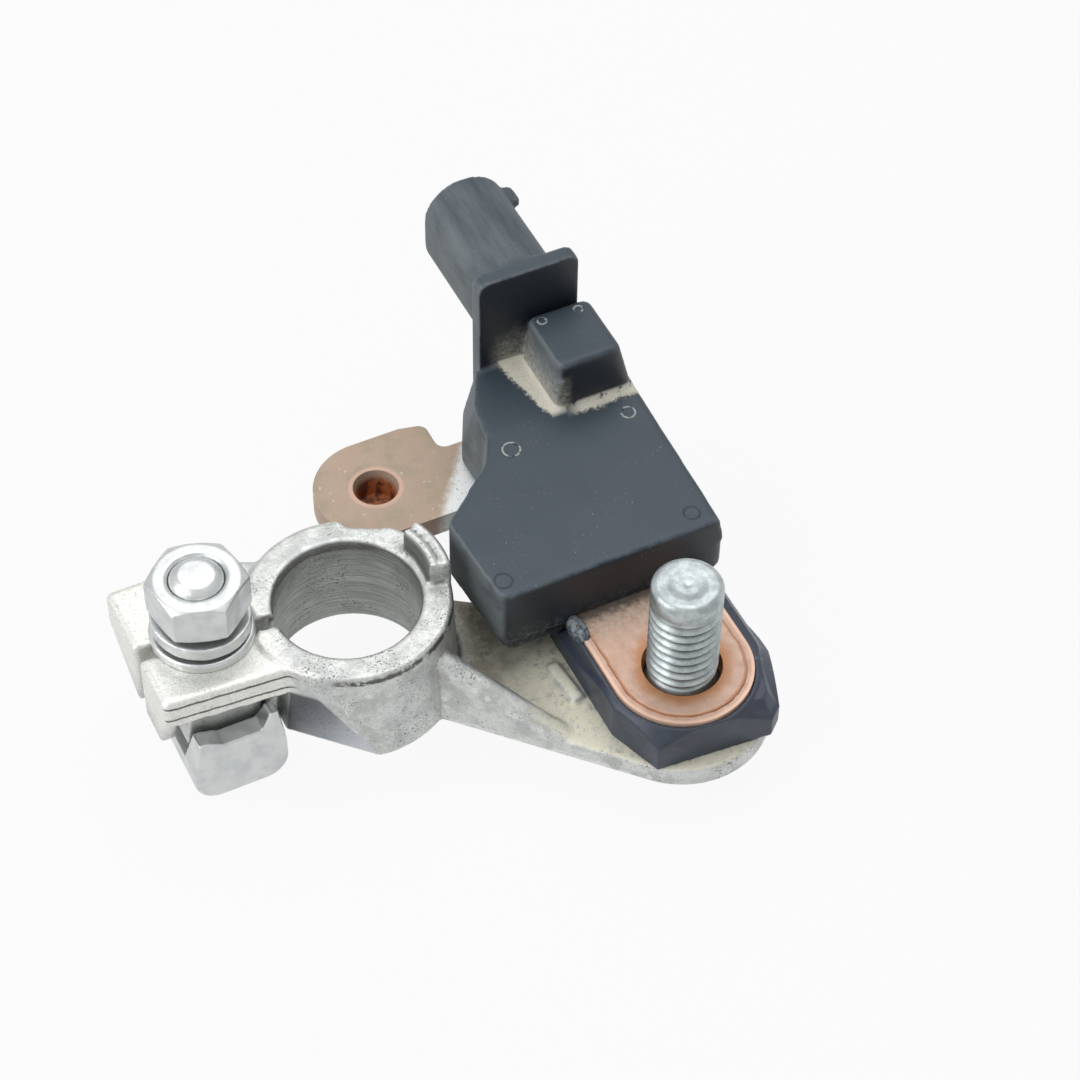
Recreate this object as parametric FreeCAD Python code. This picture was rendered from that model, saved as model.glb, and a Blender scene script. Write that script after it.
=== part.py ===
import FreeCAD, Part
import math
import os
from FreeCAD import Vector

# Battery pole clamp with a built-in current sensor, in millimetres.
# The origin is on the axis of the post bore, at the bottom face of the ring.
# +Z points up, +X runs along the front of the sensor housing and +Y points out of its plug socket.

# Ring around the battery post
RING_HEIGHT = 13.5
RING_TOP_RADIUS = 11.5
RING_DRAFT = 2.0
RING_EDGE = 0.35
BORE_LAND_RADIUS = 8.6
BORE_LAND_LENGTH = 3.0
BORE_EDGE = 0.35
POST_TAPER = 1.0 / 9.0
FLAT_DISTANCE = 10.2
FLAT_ANGLE = 64.5
FLAT_START = -0.3
RELIEF_DISTANCE = 9.36
RELIEF_ANGLE = 225.0
RELIEF_TILT = 9.4

# Stop nub on top of the ring
NUB_INNER_RADIUS = 9.0
NUB_OUTER_RADIUS = 11.6
NUB_HEIGHT = 3.0
NUB_START = -13.0
NUB_SWEEP = 37.0
NUB_RIDGE = 0.45
NUB_BEVEL = 0.4

# Split ears and the tapered keel under them
BOLT_X = -15.8
BOLT_Y = 2.6
EAR_STEP = 0.3
EAR_UNDERSIDE = 9.4
EAR_END_X = -23.4
EAR_FRONT_Y = -5.3
EAR_FRONT_SPLAY = 1.3
EAR_REAR_Y = 12.4
EAR_REAR_LENGTH = 11.0
EAR_ROUND = 0.8
EAR_EDGE = 0.5
LIP_THICKNESS = 1.7
LIP_BOTTOM = 4.1
LIP_FRONT_TAPER = 2.3
LIP_REAR_RISE = 4.6
SLOT_WIDTH = 1.7
SLOT_ANGLE = 171.7
SLOT_OFFSET = -0.6
EAR_HOLE_RADIUS = 3.5
KEEL_BOTTOM = 1.2
KEEL_HALF_LENGTH = 4.9
WEDGE_SLOPE = 13.4
WEDGE_PLAY = 0.45

# Clamp bolt: a threaded shank on a saddle that grips the keel
BOLT_RADIUS = 3.0
BOLT_TIP_LENGTH = 0.55
BOLT_TIP_EDGE = 0.5
SADDLE_SHIFT = 0.4
SADDLE_TOP = 5.8
SADDLE_SCOOP = 2.3
SADDLE_HORN = 1.0
SADDLE_LOW_HORN_DROP = 1.2
SADDLE_FLOOR = -1.0
SADDLE_BOTTOM = -5.3
SADDLE_HALF_WIDTH = 8.1
SADDLE_HALF_LENGTH = 5.5
SADDLE_TOP_NARROWING = 0.85
SADDLE_CORNER = 2.9
SADDLE_FLOOR_HALF_WIDTH = 4.6
SADDLE_EDGE = 0.4
SADDLE_CLEARANCE = 0.35

# Nut and washers
NUT_ACROSS_FLATS = 9.8
NUT_HEIGHT = 5.1
NUT_BORE_CLEARANCE = 0.05
NUT_RECESS_DEPTH = 0.35
NUT_TURN = 41.0
FLAT_WASHER_RADIUS = 5.75
FLAT_WASHER_THICKNESS = 1.1
FLAT_WASHER_EDGE = 0.25
SPRING_WASHER_RADIUS = 5.45
SPRING_WASHER_WIDTH = 2.1
SPRING_WASHER_THICKNESS = 1.6
SPRING_WASHER_RISE = 1.3
SPRING_WASHER_GAP = 14.0
WASHER_BORE_RADIUS = 3.3
WASHER_SEAT_CLEARANCE = 0.3
SEAT_GAP = 0.02

# Arm of the casting, under the ground stud
STUD_X = 30.5
STUD_Y = -20.4
ARM_THICKNESS = 2.8
ARM_END_RADIUS = 10.2
ARM_FRONT_OFFSET = 2.5
ARM_BACK_OFFSET = 10.6
ARM_EDGE = 0.4
RIB_THICKNESS = 2.5
RIB_START_HEIGHT = 11.6
RIB_LENGTH = 18.0
RIB_ROUND = 1.0
KEY_WIDTH = 1.5
KEY_LENGTH = 5.8
KEY_HEIGHT = 0.7
KEY_EDGE = 0.25
KEY_GAP = 1.0
KEY_TURN = 6.0

# Shunt: two copper plates with a resistor strip welded between them
SHUNT_BOTTOM = 5.7
SHUNT_THICKNESS = 3.0
PLATE_LEFT_X = 22.4
PLATE_RIGHT_X = 38.4
PLATE_HOLE_RADIUS = 4.45
CONTACT_INSET = 0.9
CONTACT_RAISE = 0.15
RESISTOR_LENGTH = 7.0
TAB_X = 11.0
TAB_Y = 17.5
TAB_RADIUS = 7.2
TAB_NOTCH_X = 20.0
TAB_BACK_Y = 19.8
TAB_CORNER = 1.2
DIMPLE_RADIUS = 2.65
DIMPLE_WALL = 0.5
DIMPLE_DEPTH = 3.6
DIMPLE_DRAFT = 14.0
LUG_RADIUS = 5.6
LUG_THICKNESS = 3.4
LUG_ROOT_RADIUS = 4.5
LUG_ROOT_DISTANCE = 8.3

# Ground stud and its insulator
STUD_RADIUS = 4.0
STUD_NECK = 0.4
STUD_TOP = 22.3
STUD_CHAMFER = 0.9
STUD_DIMPLE_RADIUS = 1.3
STUD_HEAD_ACROSS_FLATS = 12.0
STUD_HEAD_HEIGHT = 1.9
INSULATOR_TOP = 7.9
INSULATOR_WALL_TOP = 5.2
INSULATOR_SLOPE = 1.5
COLLAR_TOP = 8.1
COLLAR_WIDTH = 0.5
INSULATOR_REACH = 8.4
INSULATOR_LEFT = 9.1
INSULATOR_RIGHT = 10.6
TONGUE_LENGTH = 10.5
POCKET_CLEARANCE = 0.05

# Sensor housing
HOUSING_BOTTOM = 7.9
HOUSING_HEIGHT = 9.2
HOUSING_FRONT_Y = -9.4
HOUSING_LEFT_X = 14.2
HOUSING_RIGHT_X = 40.5
HOUSING_TAPER = 0.8
HOUSING_TOP_FALL = 1.1
HOUSING_BACK_Y = 21.6
HOUSING_WALL = 1.7
HOUSING_ROUND = 1.6
SHOULDER_HEIGHT = 5.6
SHOULDER_SPREAD = 1.6
BLOCK_LEFT_X = 31.2
BLOCK_FRONT_Y = 12.1
BLOCK_HEIGHT = 6.9
BLOCK_OVERHANG = 0.5
BLOCK_DRAFT_LEFT = 0.4
BLOCK_DRAFT_RIGHT = 1.8
BLOCK_DRAFT_BACK = 0.7
BLOCK_CORNER = 0.6
BLOCK_EDGE = 0.35
FLANGE_LEFT_X = 26.0
FLANGE_WIDTH = 12.5
FLANGE_THICKNESS = 2.0
FLANGE_TOP = 30.4
FLANGE_ROUND = 1.2
BASE_THICKNESS = 2.6
BASE_INSET = 1.1

# Plug socket on the housing
SOCKET_LENGTH = 15.2
SOCKET_SHIFT = 0.2
SOCKET_DROP = 0.2
SOCKET_WIDTH = 10.0
SOCKET_HEIGHT = 12.8
SOCKET_ROUND = 4.9
SOCKET_WALL = 1.3
SOCKET_DEPTH = 13.8
LATCH_LENGTH = 2.7
LATCH_HEIGHT = 1.2
LATCH_REACH = 1.0
PIN_WIDTH = 1.5
PIN_THICKNESS = 0.8
PIN_SPACING = 3.5
PIN_REACH = 8.4

# Electronics
BOARD_THICKNESS = 1.6
BOARD_BOTTOM = 11.0
BOARD_GAP = 0.4
CHIP_SIZE = 7.0
CHIP_HEIGHT = 1.2
CAPACITOR_LENGTH = 3.2
CAPACITOR_WIDTH = 1.6
CAPACITOR_HEIGHT = 1.3
CAPACITOR_PITCH = 2.5
SENSE_PIN_SIZE = 0.8
SENSE_PIN_SPREAD = 3.0

# Sizes worked out from the ones above
RING_BOTTOM_RADIUS = RING_TOP_RADIUS + RING_HEIGHT * math.tan(math.radians(RING_DRAFT))
WEDGE_TANGENT = math.tan(math.radians(WEDGE_SLOPE))
EAR_TOP = RING_HEIGHT - EAR_STEP
FLAT_WASHER_TOP = EAR_TOP + FLAT_WASHER_THICKNESS
NUT_BOTTOM = FLAT_WASHER_TOP + SPRING_WASHER_THICKNESS + SPRING_WASHER_RISE + SEAT_GAP
NUT_TOP = NUT_BOTTOM + NUT_HEIGHT
BOLT_TOP = NUT_TOP + BOLT_TIP_LENGTH
SADDLE_X = BOLT_X + SADDLE_SHIFT
SHUNT_TOP = SHUNT_BOTTOM + SHUNT_THICKNESS
PLATE_CENTRE_X = (PLATE_LEFT_X + PLATE_RIGHT_X) / 2
PLATE_END_RADIUS = (PLATE_RIGHT_X - PLATE_LEFT_X) / 2
HOUSING_TOP = HOUSING_BOTTOM + HOUSING_HEIGHT
FLANGE_BACK_Y = HOUSING_BACK_Y + FLANGE_THICKNESS
SOCKET_MOUTH_Y = FLANGE_BACK_Y + SOCKET_LENGTH
SOCKET_CENTRE_X = FLANGE_LEFT_X + FLANGE_WIDTH / 2 - SOCKET_SHIFT
SOCKET_CENTRE_Z = FLANGE_TOP - SOCKET_DROP - SOCKET_HEIGHT / 2
BOARD_TOP = BOARD_BOTTOM + BOARD_THICKNESS
BASE_BOTTOM = HOUSING_BOTTOM - BASE_THICKNESS
STUD_HEAD_TOP = SHUNT_BOTTOM
STUD_HEAD_BOTTOM = STUD_HEAD_TOP - STUD_HEAD_HEIGHT
CONTACT_TOP = SHUNT_TOP
TAB_FRONT_Y = TAB_Y - TAB_RADIUS
RESISTOR_BACK_Y = TAB_FRONT_Y
RESISTOR_FRONT_Y = RESISTOR_BACK_Y - RESISTOR_LENGTH


def direction(angle):
    """Unit vector in the XY plane at an angle in degrees from +X."""
    return Vector(math.cos(math.radians(angle)), math.sin(math.radians(angle)), 0)


def prism(points, bottom, top):
    """Upright prism on an outline of XY points."""
    corners = [Vector(x, y, bottom) for x, y in points]
    outline = Part.makePolygon(corners + corners[:1])
    return Part.Face(outline).extrude(Vector(0, 0, top - bottom))


def cylinder(x, y, radius, bottom, top):
    """Upright cylinder."""
    return Part.makeCylinder(radius, top - bottom, Vector(x, y, bottom))


def box(low, high):
    """Box between two opposite corners."""
    low = Vector(*low)
    high = Vector(*high)
    size = high - low
    return Part.makeBox(size.x, size.y, size.z, low)


def is_upright(edge, least=0.999):
    """True for a straight edge along Z, or for a leaning one whose direction has the least share of Z."""
    if edge.Curve.TypeId != "Part::GeomLine":
        return False
    return abs(edge.Curve.Direction.z) > least


def round_upright_edges(solid, radius, keep=lambda point: True):
    """Fillet the vertical edges whose middle point passes a test."""
    chosen = [e for e in solid.Edges if is_upright(e) and keep(e.CenterOfMass)]
    return solid.makeFillet(radius, chosen)


def edges_at_height(solid, height):
    """Edges that lie wholly in the plane z = height."""
    chosen = []
    for edge in solid.Edges:
        extent = edge.BoundBox
        if abs(extent.ZMin - height) < 1e-4 and abs(extent.ZMax - height) < 1e-4:
            chosen.append(edge)
    return chosen


def edges_along_y(solid):
    """Straight edges that run along Y."""
    return [e for e in solid.Edges if e.Length > 0 and abs(e.BoundBox.YLength - e.Length) < 1e-4]


def belt_face(centre_a, radius_a, centre_b, radius_b, height):
    """Flat face bounded by two circles and their two outer tangents."""
    span = centre_b - centre_a
    heading = math.degrees(math.atan2(span.y, span.x))
    lean = math.degrees(math.acos((radius_a - radius_b) / span.Length))
    upper = direction(heading + lean)
    lower = direction(heading - lean)
    forward = direction(heading)
    lift = Vector(0, 0, height)
    a_upper = centre_a + upper * radius_a + lift
    a_lower = centre_a + lower * radius_a + lift
    b_upper = centre_b + upper * radius_b + lift
    b_lower = centre_b + lower * radius_b + lift
    edges = [
        Part.makeLine(a_upper, b_upper),
        Part.Arc(b_upper, centre_b + forward * radius_b + lift, b_lower).toShape(),
        Part.makeLine(b_lower, a_lower),
        Part.Arc(a_lower, centre_a - forward * radius_a + lift, a_upper).toShape(),
    ]
    return Part.Face(Part.Wire(edges))


def hexagon_prism(x, y, across_flats, bottom, top, turn=0.0):
    """Upright hexagonal prism."""
    corner = across_flats / math.sqrt(3)
    points = []
    for step in range(6):
        ray = direction(turn + 60 * step) * corner
        points.append((x + ray.x, y + ray.y))
    return prism(points, bottom, top)


# Casting

def ring_body():
    """Tapered ring wall with a flat at the back and a relief for the saddle at the front left."""
    ring = Part.makeCone(RING_BOTTOM_RADIUS, RING_TOP_RADIUS, RING_HEIGHT)
    rims = edges_at_height(ring, 0) + edges_at_height(ring, RING_HEIGHT)
    ring = ring.makeChamfer(RING_EDGE, rims)

    across = direction(FLAT_ANGLE)
    along = direction(FLAT_ANGLE - 90)
    reach = 2 * RING_BOTTOM_RADIUS
    start = across * FLAT_DISTANCE + along * FLAT_START
    corners = [
        start,
        start + along * reach,
        start + along * reach + across * reach,
        start + across * reach - along * reach,
    ]
    flat = prism([(c.x, c.y) for c in corners], -1, RING_HEIGHT + 1)
    ring = ring.cut(flat)

    relief = Part.makeBox(reach, 4 * reach, 4 * reach, Vector(0, -2 * reach, -2 * reach))
    relief.rotate(Vector(0, 0, 0), Vector(0, 1, 0), RELIEF_TILT)
    relief.rotate(Vector(0, 0, 0), Vector(0, 0, 1), RELIEF_ANGLE)
    outward = direction(RELIEF_ANGLE) * math.cos(math.radians(RELIEF_TILT))
    outward.z = -math.sin(math.radians(RELIEF_TILT))
    relief.translate(outward * RELIEF_DISTANCE)
    return ring.cut(relief)


def bore_void():
    """Space of the battery post: a straight land at the bottom, then the standard post taper."""
    land_top = BORE_EDGE + BORE_LAND_LENGTH
    taper_length = RING_HEIGHT - BORE_EDGE - land_top
    top_radius = BORE_LAND_RADIUS - taper_length * POST_TAPER / 2
    points = [
        (0, -1),
        (BORE_LAND_RADIUS + BORE_EDGE + 1, -1),
        (BORE_LAND_RADIUS, BORE_EDGE),
        (BORE_LAND_RADIUS, land_top),
        (top_radius, RING_HEIGHT - BORE_EDGE),
        (top_radius + BORE_EDGE + 1, RING_HEIGHT + 1),
        (0, RING_HEIGHT + 1),
    ]
    section = Part.makePolygon([Vector(r, 0, z) for r, z in points + points[:1]])
    return Part.Face(section).revolve(Vector(0, 0, 0), Vector(0, 0, 1), 360)


def stop_nub():
    """Curved stop on the ring's top with two bevelled ridges along it."""
    base = RING_HEIGHT - RING_EDGE
    shoulder = RING_HEIGHT + NUB_HEIGHT - NUB_RIDGE
    crest = RING_HEIGHT + NUB_HEIGHT
    groove = (NUB_INNER_RADIUS + NUB_OUTER_RADIUS) / 2
    points = [
        (NUB_INNER_RADIUS, base), (NUB_INNER_RADIUS, shoulder), (NUB_INNER_RADIUS + NUB_BEVEL, crest),
        (groove - NUB_BEVEL, crest), (groove, shoulder), (groove + NUB_BEVEL, crest),
        (NUB_OUTER_RADIUS - NUB_BEVEL, crest), (NUB_OUTER_RADIUS, shoulder), (NUB_OUTER_RADIUS, base),
    ]
    section = [Vector(r, 0, z) for r, z in points + points[:1]]
    nub = Part.Face(Part.makePolygon(section))
    nub = nub.revolve(Vector(0, 0, 0), Vector(0, 0, 1), NUB_SWEEP)
    nub.rotate(Vector(0, 0, 0), Vector(0, 0, 1), NUB_START)
    return nub


def ear_plates():
    """The two ears as one plate, with a lip hanging down at its outer end."""
    root_front = (-RING_TOP_RADIUS * 0.5, EAR_FRONT_Y - EAR_FRONT_SPLAY)
    rear_corner_x = EAR_END_X + EAR_REAR_LENGTH
    outline = [
        (EAR_END_X, EAR_FRONT_Y),
        root_front,
        (-RING_TOP_RADIUS * 0.5, RING_TOP_RADIUS * 0.8),
        (rear_corner_x, EAR_REAR_Y),
        (EAR_END_X, EAR_REAR_Y),
    ]
    plate = prism(outline, EAR_UNDERSIDE, EAR_TOP)
    plate = round_upright_edges(plate, EAR_ROUND, lambda p: p.x < rear_corner_x + 1)
    plate = plate.makeChamfer(EAR_EDGE, edges_at_height(plate, EAR_TOP))

    front = EAR_FRONT_Y + 0.35
    rear = EAR_REAR_Y - 0.35
    lip_points = [
        Vector(EAR_END_X, front, EAR_UNDERSIDE + 0.5),
        Vector(EAR_END_X, front + LIP_FRONT_TAPER, LIP_BOTTOM),
        Vector(EAR_END_X, BOLT_Y + SLOT_WIDTH, LIP_BOTTOM),
        Vector(EAR_END_X, rear, LIP_BOTTOM + LIP_REAR_RISE),
        Vector(EAR_END_X, rear, EAR_UNDERSIDE + 1.0),
    ]
    lip = Part.Face(Part.makePolygon(lip_points + lip_points[:1]))
    lip = lip.extrude(Vector(LIP_THICKNESS, 0, 0))
    return plate.fuse(lip)


def keel_half_width(height):
    """Half the keel's width at a height: it runs parallel to the saddle's inner walls."""
    saddle = SADDLE_FLOOR_HALF_WIDTH + (height - SADDLE_FLOOR) * WEDGE_TANGENT
    return saddle - WEDGE_PLAY


def keel():
    """Tapered block under the ears that the saddle squeezes together."""
    top = EAR_UNDERSIDE + 1.0
    corners = [
        Vector(0, BOLT_Y - keel_half_width(KEEL_BOTTOM), KEEL_BOTTOM),
        Vector(0, BOLT_Y + keel_half_width(KEEL_BOTTOM), KEEL_BOTTOM),
        Vector(0, BOLT_Y + keel_half_width(top), top),
        Vector(0, BOLT_Y - keel_half_width(top), top),
    ]
    section = Part.Face(Part.makePolygon(corners + corners[:1]))
    solid = section.extrude(Vector(-BORE_LAND_RADIUS - SADDLE_X + KEEL_HALF_LENGTH, 0, 0))
    solid.translate(Vector(SADDLE_X - KEEL_HALF_LENGTH, 0, 0))
    return solid


def saddle_relief():
    """Space cut from the ring's wall beside the saddle, over the saddle's travel."""
    right = SADDLE_X + SADDLE_HALF_LENGTH + SADDLE_CLEARANCE
    keel_right = SADDLE_X + KEEL_HALF_LENGTH
    low_y = BOLT_Y - SADDLE_HALF_WIDTH - SADDLE_CLEARANCE
    high_y = BOLT_Y + SADDLE_HALF_WIDTH + SADDLE_CLEARANCE
    void = box((right - RING_BOTTOM_RADIUS, low_y, -1), (right, high_y, EAR_UNDERSIDE))
    core = box((keel_right - 30, low_y, KEEL_BOTTOM), (keel_right, high_y, EAR_UNDERSIDE + 2))
    return void.cut(core.common(keel()))


def arm_plate():
    """Flat arm from the ring to a round end under the stud."""
    stud = Vector(STUD_X, STUD_Y, 0)
    heading = math.degrees(math.atan2(STUD_Y, STUD_X))
    front_lean = math.degrees(math.asin((ARM_END_RADIUS - ARM_FRONT_OFFSET) / stud.Length))
    back_lean = math.degrees(math.asin((ARM_END_RADIUS - ARM_BACK_OFFSET) / stud.Length))
    front_side = direction(heading - front_lean - 90)
    back_side = direction(heading + back_lean + 90)
    ring_front = front_side * ARM_FRONT_OFFSET
    ring_back = back_side * ARM_BACK_OFFSET
    stud_front = stud + front_side * ARM_END_RADIUS
    stud_back = stud + back_side * ARM_END_RADIUS
    tip = stud + direction(heading) * ARM_END_RADIUS
    outline = [
        Part.makeLine(ring_front, stud_front),
        Part.Arc(stud_front, tip, stud_back).toShape(),
        Part.makeLine(stud_back, ring_back),
        Part.makeLine(ring_back, ring_front),
    ]
    plate = Part.Face(Part.Wire(outline)).extrude(Vector(0, 0, ARM_THICKNESS))
    rims = edges_at_height(plate, 0) + edges_at_height(plate, ARM_THICKNESS)
    return plate.makeChamfer(ARM_EDGE, rims)


def arm_rib():
    """Rib along the arm's front edge, falling from the ring to the plate."""
    stud = Vector(STUD_X, STUD_Y, 0)
    heading = math.degrees(math.atan2(STUD_Y, STUD_X))
    lean = math.degrees(math.asin((ARM_END_RADIUS - ARM_FRONT_OFFSET) / stud.Length))
    along = direction(heading - lean)
    inward = direction(heading - lean + 90)
    root = inward * -ARM_FRONT_OFFSET + along * (RING_TOP_RADIUS * 0.8)
    low = 0.5 * ARM_THICKNESS
    corners = [
        root + Vector(0, 0, low),
        root + Vector(0, 0, RIB_START_HEIGHT),
        root + along * RIB_LENGTH + Vector(0, 0, ARM_THICKNESS - RIB_ROUND * 0.3),
        root + along * RIB_LENGTH + Vector(0, 0, low),
    ]
    rib = Part.Face(Part.makePolygon(corners + corners[:1])).extrude(inward * RIB_THICKNESS)
    crest = [e for e in rib.Edges if e.Length > RIB_LENGTH + 0.5]
    return rib.makeFillet(RIB_ROUND, crest)


def locating_key():
    """Small raised key on the arm, beside the insulator's left wall."""
    right = STUD_X - INSULATOR_LEFT - KEY_GAP
    back = HOUSING_FRONT_Y - 0.9
    key = box((right - KEY_WIDTH, back - KEY_LENGTH, ARM_THICKNESS - 0.5),
              (right, back, ARM_THICKNESS + KEY_HEIGHT))
    key = key.makeChamfer(KEY_EDGE, edges_at_height(key, ARM_THICKNESS + KEY_HEIGHT))
    key.rotate(Vector(right, back, 0), Vector(0, 0, 1), KEY_TURN)
    return key


def tab_lug():
    """Shelf of the casting that carries the copper tab, with a hole for the tab's dimple."""
    root = direction(math.degrees(math.atan2(TAB_Y, TAB_X))) * LUG_ROOT_DISTANCE
    bottom = SHUNT_BOTTOM - LUG_THICKNESS
    shelf = belt_face(root, LUG_ROOT_RADIUS, Vector(TAB_X, TAB_Y, 0), LUG_RADIUS, bottom)
    shelf = shelf.extrude(Vector(0, 0, LUG_THICKNESS))
    hole_radius = DIMPLE_RADIUS + DIMPLE_WALL + POCKET_CLEARANCE
    return shelf.cut(cylinder(TAB_X, TAB_Y, hole_radius, bottom - 1, SHUNT_BOTTOM + 1))


def ear_slot():
    """Slot from the bore out through both ears."""
    reach = -EAR_END_X + 5
    slot = box((0, -SLOT_WIDTH / 2, -1), (reach, SLOT_WIDTH / 2, RING_HEIGHT + 1))
    slot.translate(Vector(0, -SLOT_OFFSET, 0))
    slot.rotate(Vector(0, 0, 0), Vector(0, 0, 1), SLOT_ANGLE)
    return slot


def pole_clamp():
    """One casting: ring, ears, keel, arm, rib, key, tab lug and stop nub."""
    body = ring_body()
    for piece in (ear_plates(), arm_plate(), arm_rib(), locating_key(), tab_lug(), stop_nub()):
        body = body.fuse(piece)
    body = body.cut(saddle_relief())
    body = body.fuse(keel())
    body = body.cut(bore_void())
    body = body.cut(ear_slot())
    body = body.cut(cylinder(BOLT_X, BOLT_Y, EAR_HOLE_RADIUS, -1, RING_HEIGHT + 1))
    seat_radius = FLAT_WASHER_RADIUS + WASHER_SEAT_CLEARANCE
    body = body.cut(cylinder(BOLT_X, BOLT_Y, seat_radius, EAR_TOP, RING_HEIGHT + 1))
    return body.removeSplitter()


# Clamp bolt, nut and washers

def clamp_bolt():
    """Shank with a domed tip on a U-shaped saddle."""
    left = SADDLE_X - SADDLE_HALF_LENGTH
    right = SADDLE_X + SADDLE_HALF_LENGTH
    top_left = left + SADDLE_TOP_NARROWING
    top_right = right - SADDLE_TOP_NARROWING
    low = SADDLE_BOTTOM
    diagonal = SADDLE_CORNER * (1 - math.sqrt(0.5))
    low_horn_z = SADDLE_TOP - SADDLE_LOW_HORN_DROP
    scoop_z = SADDLE_TOP - SADDLE_SCOOP
    corners = [
        (left, low + SADDLE_CORNER), (left, SADDLE_FLOOR + 1), (top_left, low_horn_z),
        (top_left + SADDLE_HORN, low_horn_z), (top_left + 3 * SADDLE_HORN, scoop_z),
        (top_right - 2 * SADDLE_HORN, scoop_z), (top_right - SADDLE_HORN, SADDLE_TOP),
        (top_right, SADDLE_TOP), (right, SADDLE_FLOOR + 1), (right, low + SADDLE_CORNER),
    ]
    front = BOLT_Y - SADDLE_HALF_WIDTH
    points = [Vector(x, front, z) for x, z in corners]
    edges = [Part.makeLine(a, b) for a, b in zip(points, points[1:])]
    edges.append(Part.Arc(points[-1], Vector(right - diagonal, front, low + diagonal),
                          Vector(right - SADDLE_CORNER, front, low)).toShape())
    edges.append(Part.makeLine(Vector(right - SADDLE_CORNER, front, low),
                               Vector(left + SADDLE_CORNER, front, low)))
    edges.append(Part.Arc(Vector(left + SADDLE_CORNER, front, low),
                          Vector(left + diagonal, front, low + diagonal), points[0]).toShape())
    saddle = Part.Face(Part.Wire(edges)).extrude(Vector(0, 2 * SADDLE_HALF_WIDTH, 0))
    ends = [e for e in saddle.Edges
            if e.BoundBox.YLength < 1e-4 and e.CenterOfMass.z < SADDLE_FLOOR + 2]
    saddle = saddle.makeChamfer(SADDLE_EDGE, ends)

    floor_half = SADDLE_FLOOR_HALF_WIDTH
    rim_half = floor_half + (SADDLE_TOP + 1 - SADDLE_FLOOR) * WEDGE_TANGENT
    pocket_points = [
        Vector(left - 1, BOLT_Y - floor_half, SADDLE_FLOOR),
        Vector(left - 1, BOLT_Y + floor_half, SADDLE_FLOOR),
        Vector(left - 1, BOLT_Y + rim_half, SADDLE_TOP + 1),
        Vector(left - 1, BOLT_Y - rim_half, SADDLE_TOP + 1),
    ]
    pocket = Part.Face(Part.makePolygon(pocket_points + pocket_points[:1]))
    pocket = pocket.extrude(Vector(2 * SADDLE_HALF_LENGTH + 2, 0, 0))
    saddle = saddle.cut(pocket)

    shank = cylinder(BOLT_X, BOLT_Y, BOLT_RADIUS, SADDLE_FLOOR - 1, BOLT_TOP)
    shank = shank.makeChamfer(BOLT_TIP_EDGE, edges_at_height(shank, BOLT_TOP))
    return saddle.fuse(shank).removeSplitter()


def clamp_nut():
    """Hexagon nut with both faces chamfered and a shallow recess at the top."""
    nut = hexagon_prism(BOLT_X, BOLT_Y, NUT_ACROSS_FLATS, NUT_BOTTOM, NUT_TOP, NUT_TURN)
    corner = NUT_ACROSS_FLATS / math.sqrt(3)
    face_radius = NUT_ACROSS_FLATS / 2 * 0.95
    drop = (corner - face_radius) * math.tan(math.radians(30))
    points = [
        (0, NUT_BOTTOM), (face_radius, NUT_BOTTOM), (corner, NUT_BOTTOM + drop),
        (corner, NUT_TOP - drop), (face_radius, NUT_TOP), (0, NUT_TOP),
    ]
    section = [Vector(BOLT_X + r, BOLT_Y, z) for r, z in points + points[:1]]
    barrel = Part.Face(Part.makePolygon(section))
    barrel = barrel.revolve(Vector(BOLT_X, BOLT_Y, 0), Vector(0, 0, 1), 360)
    bore_radius = BOLT_RADIUS + NUT_BORE_CLEARANCE
    bore = cylinder(BOLT_X, BOLT_Y, bore_radius, NUT_BOTTOM - 1, NUT_TOP + 1)
    recess = Part.makeCone(bore_radius, bore_radius + 2 * NUT_RECESS_DEPTH, 2 * NUT_RECESS_DEPTH,
                           Vector(BOLT_X, BOLT_Y, NUT_TOP - NUT_RECESS_DEPTH))
    return nut.common(barrel).cut(bore).cut(recess)


def flat_washer():
    """Plain washer on top of the ears."""
    ring = cylinder(BOLT_X, BOLT_Y, FLAT_WASHER_RADIUS, EAR_TOP, FLAT_WASHER_TOP)
    ring = ring.makeChamfer(FLAT_WASHER_EDGE, edges_at_height(ring, FLAT_WASHER_TOP))
    return ring.cut(cylinder(BOLT_X, BOLT_Y, WASHER_BORE_RADIUS, EAR_TOP - 1, FLAT_WASHER_TOP + 1))


def spring_washer():
    """Split spring washer: a rectangular section carried once round a rising left-hand helix."""
    inner = SPRING_WASHER_RADIUS - SPRING_WASHER_WIDTH
    sweep = 360.0 - SPRING_WASHER_GAP
    rise = SPRING_WASHER_RISE
    path = Part.makeHelix(rise * 360 / sweep, rise, SPRING_WASHER_RADIUS, 0, True)
    half = SPRING_WASHER_THICKNESS
    corners = [
        Vector(inner, 0, 0), Vector(SPRING_WASHER_RADIUS, 0, 0),
        Vector(SPRING_WASHER_RADIUS, 0, half), Vector(inner, 0, half),
    ]
    section = Part.makePolygon(corners + corners[:1])
    washer = Part.Wire(path).makePipeShell([section], True, True)
    washer.rotate(Vector(0, 0, 0), Vector(0, 0, 1), 60.0)
    washer.translate(Vector(BOLT_X, BOLT_Y, FLAT_WASHER_TOP))
    return washer


# Ground stud and insulator

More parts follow.
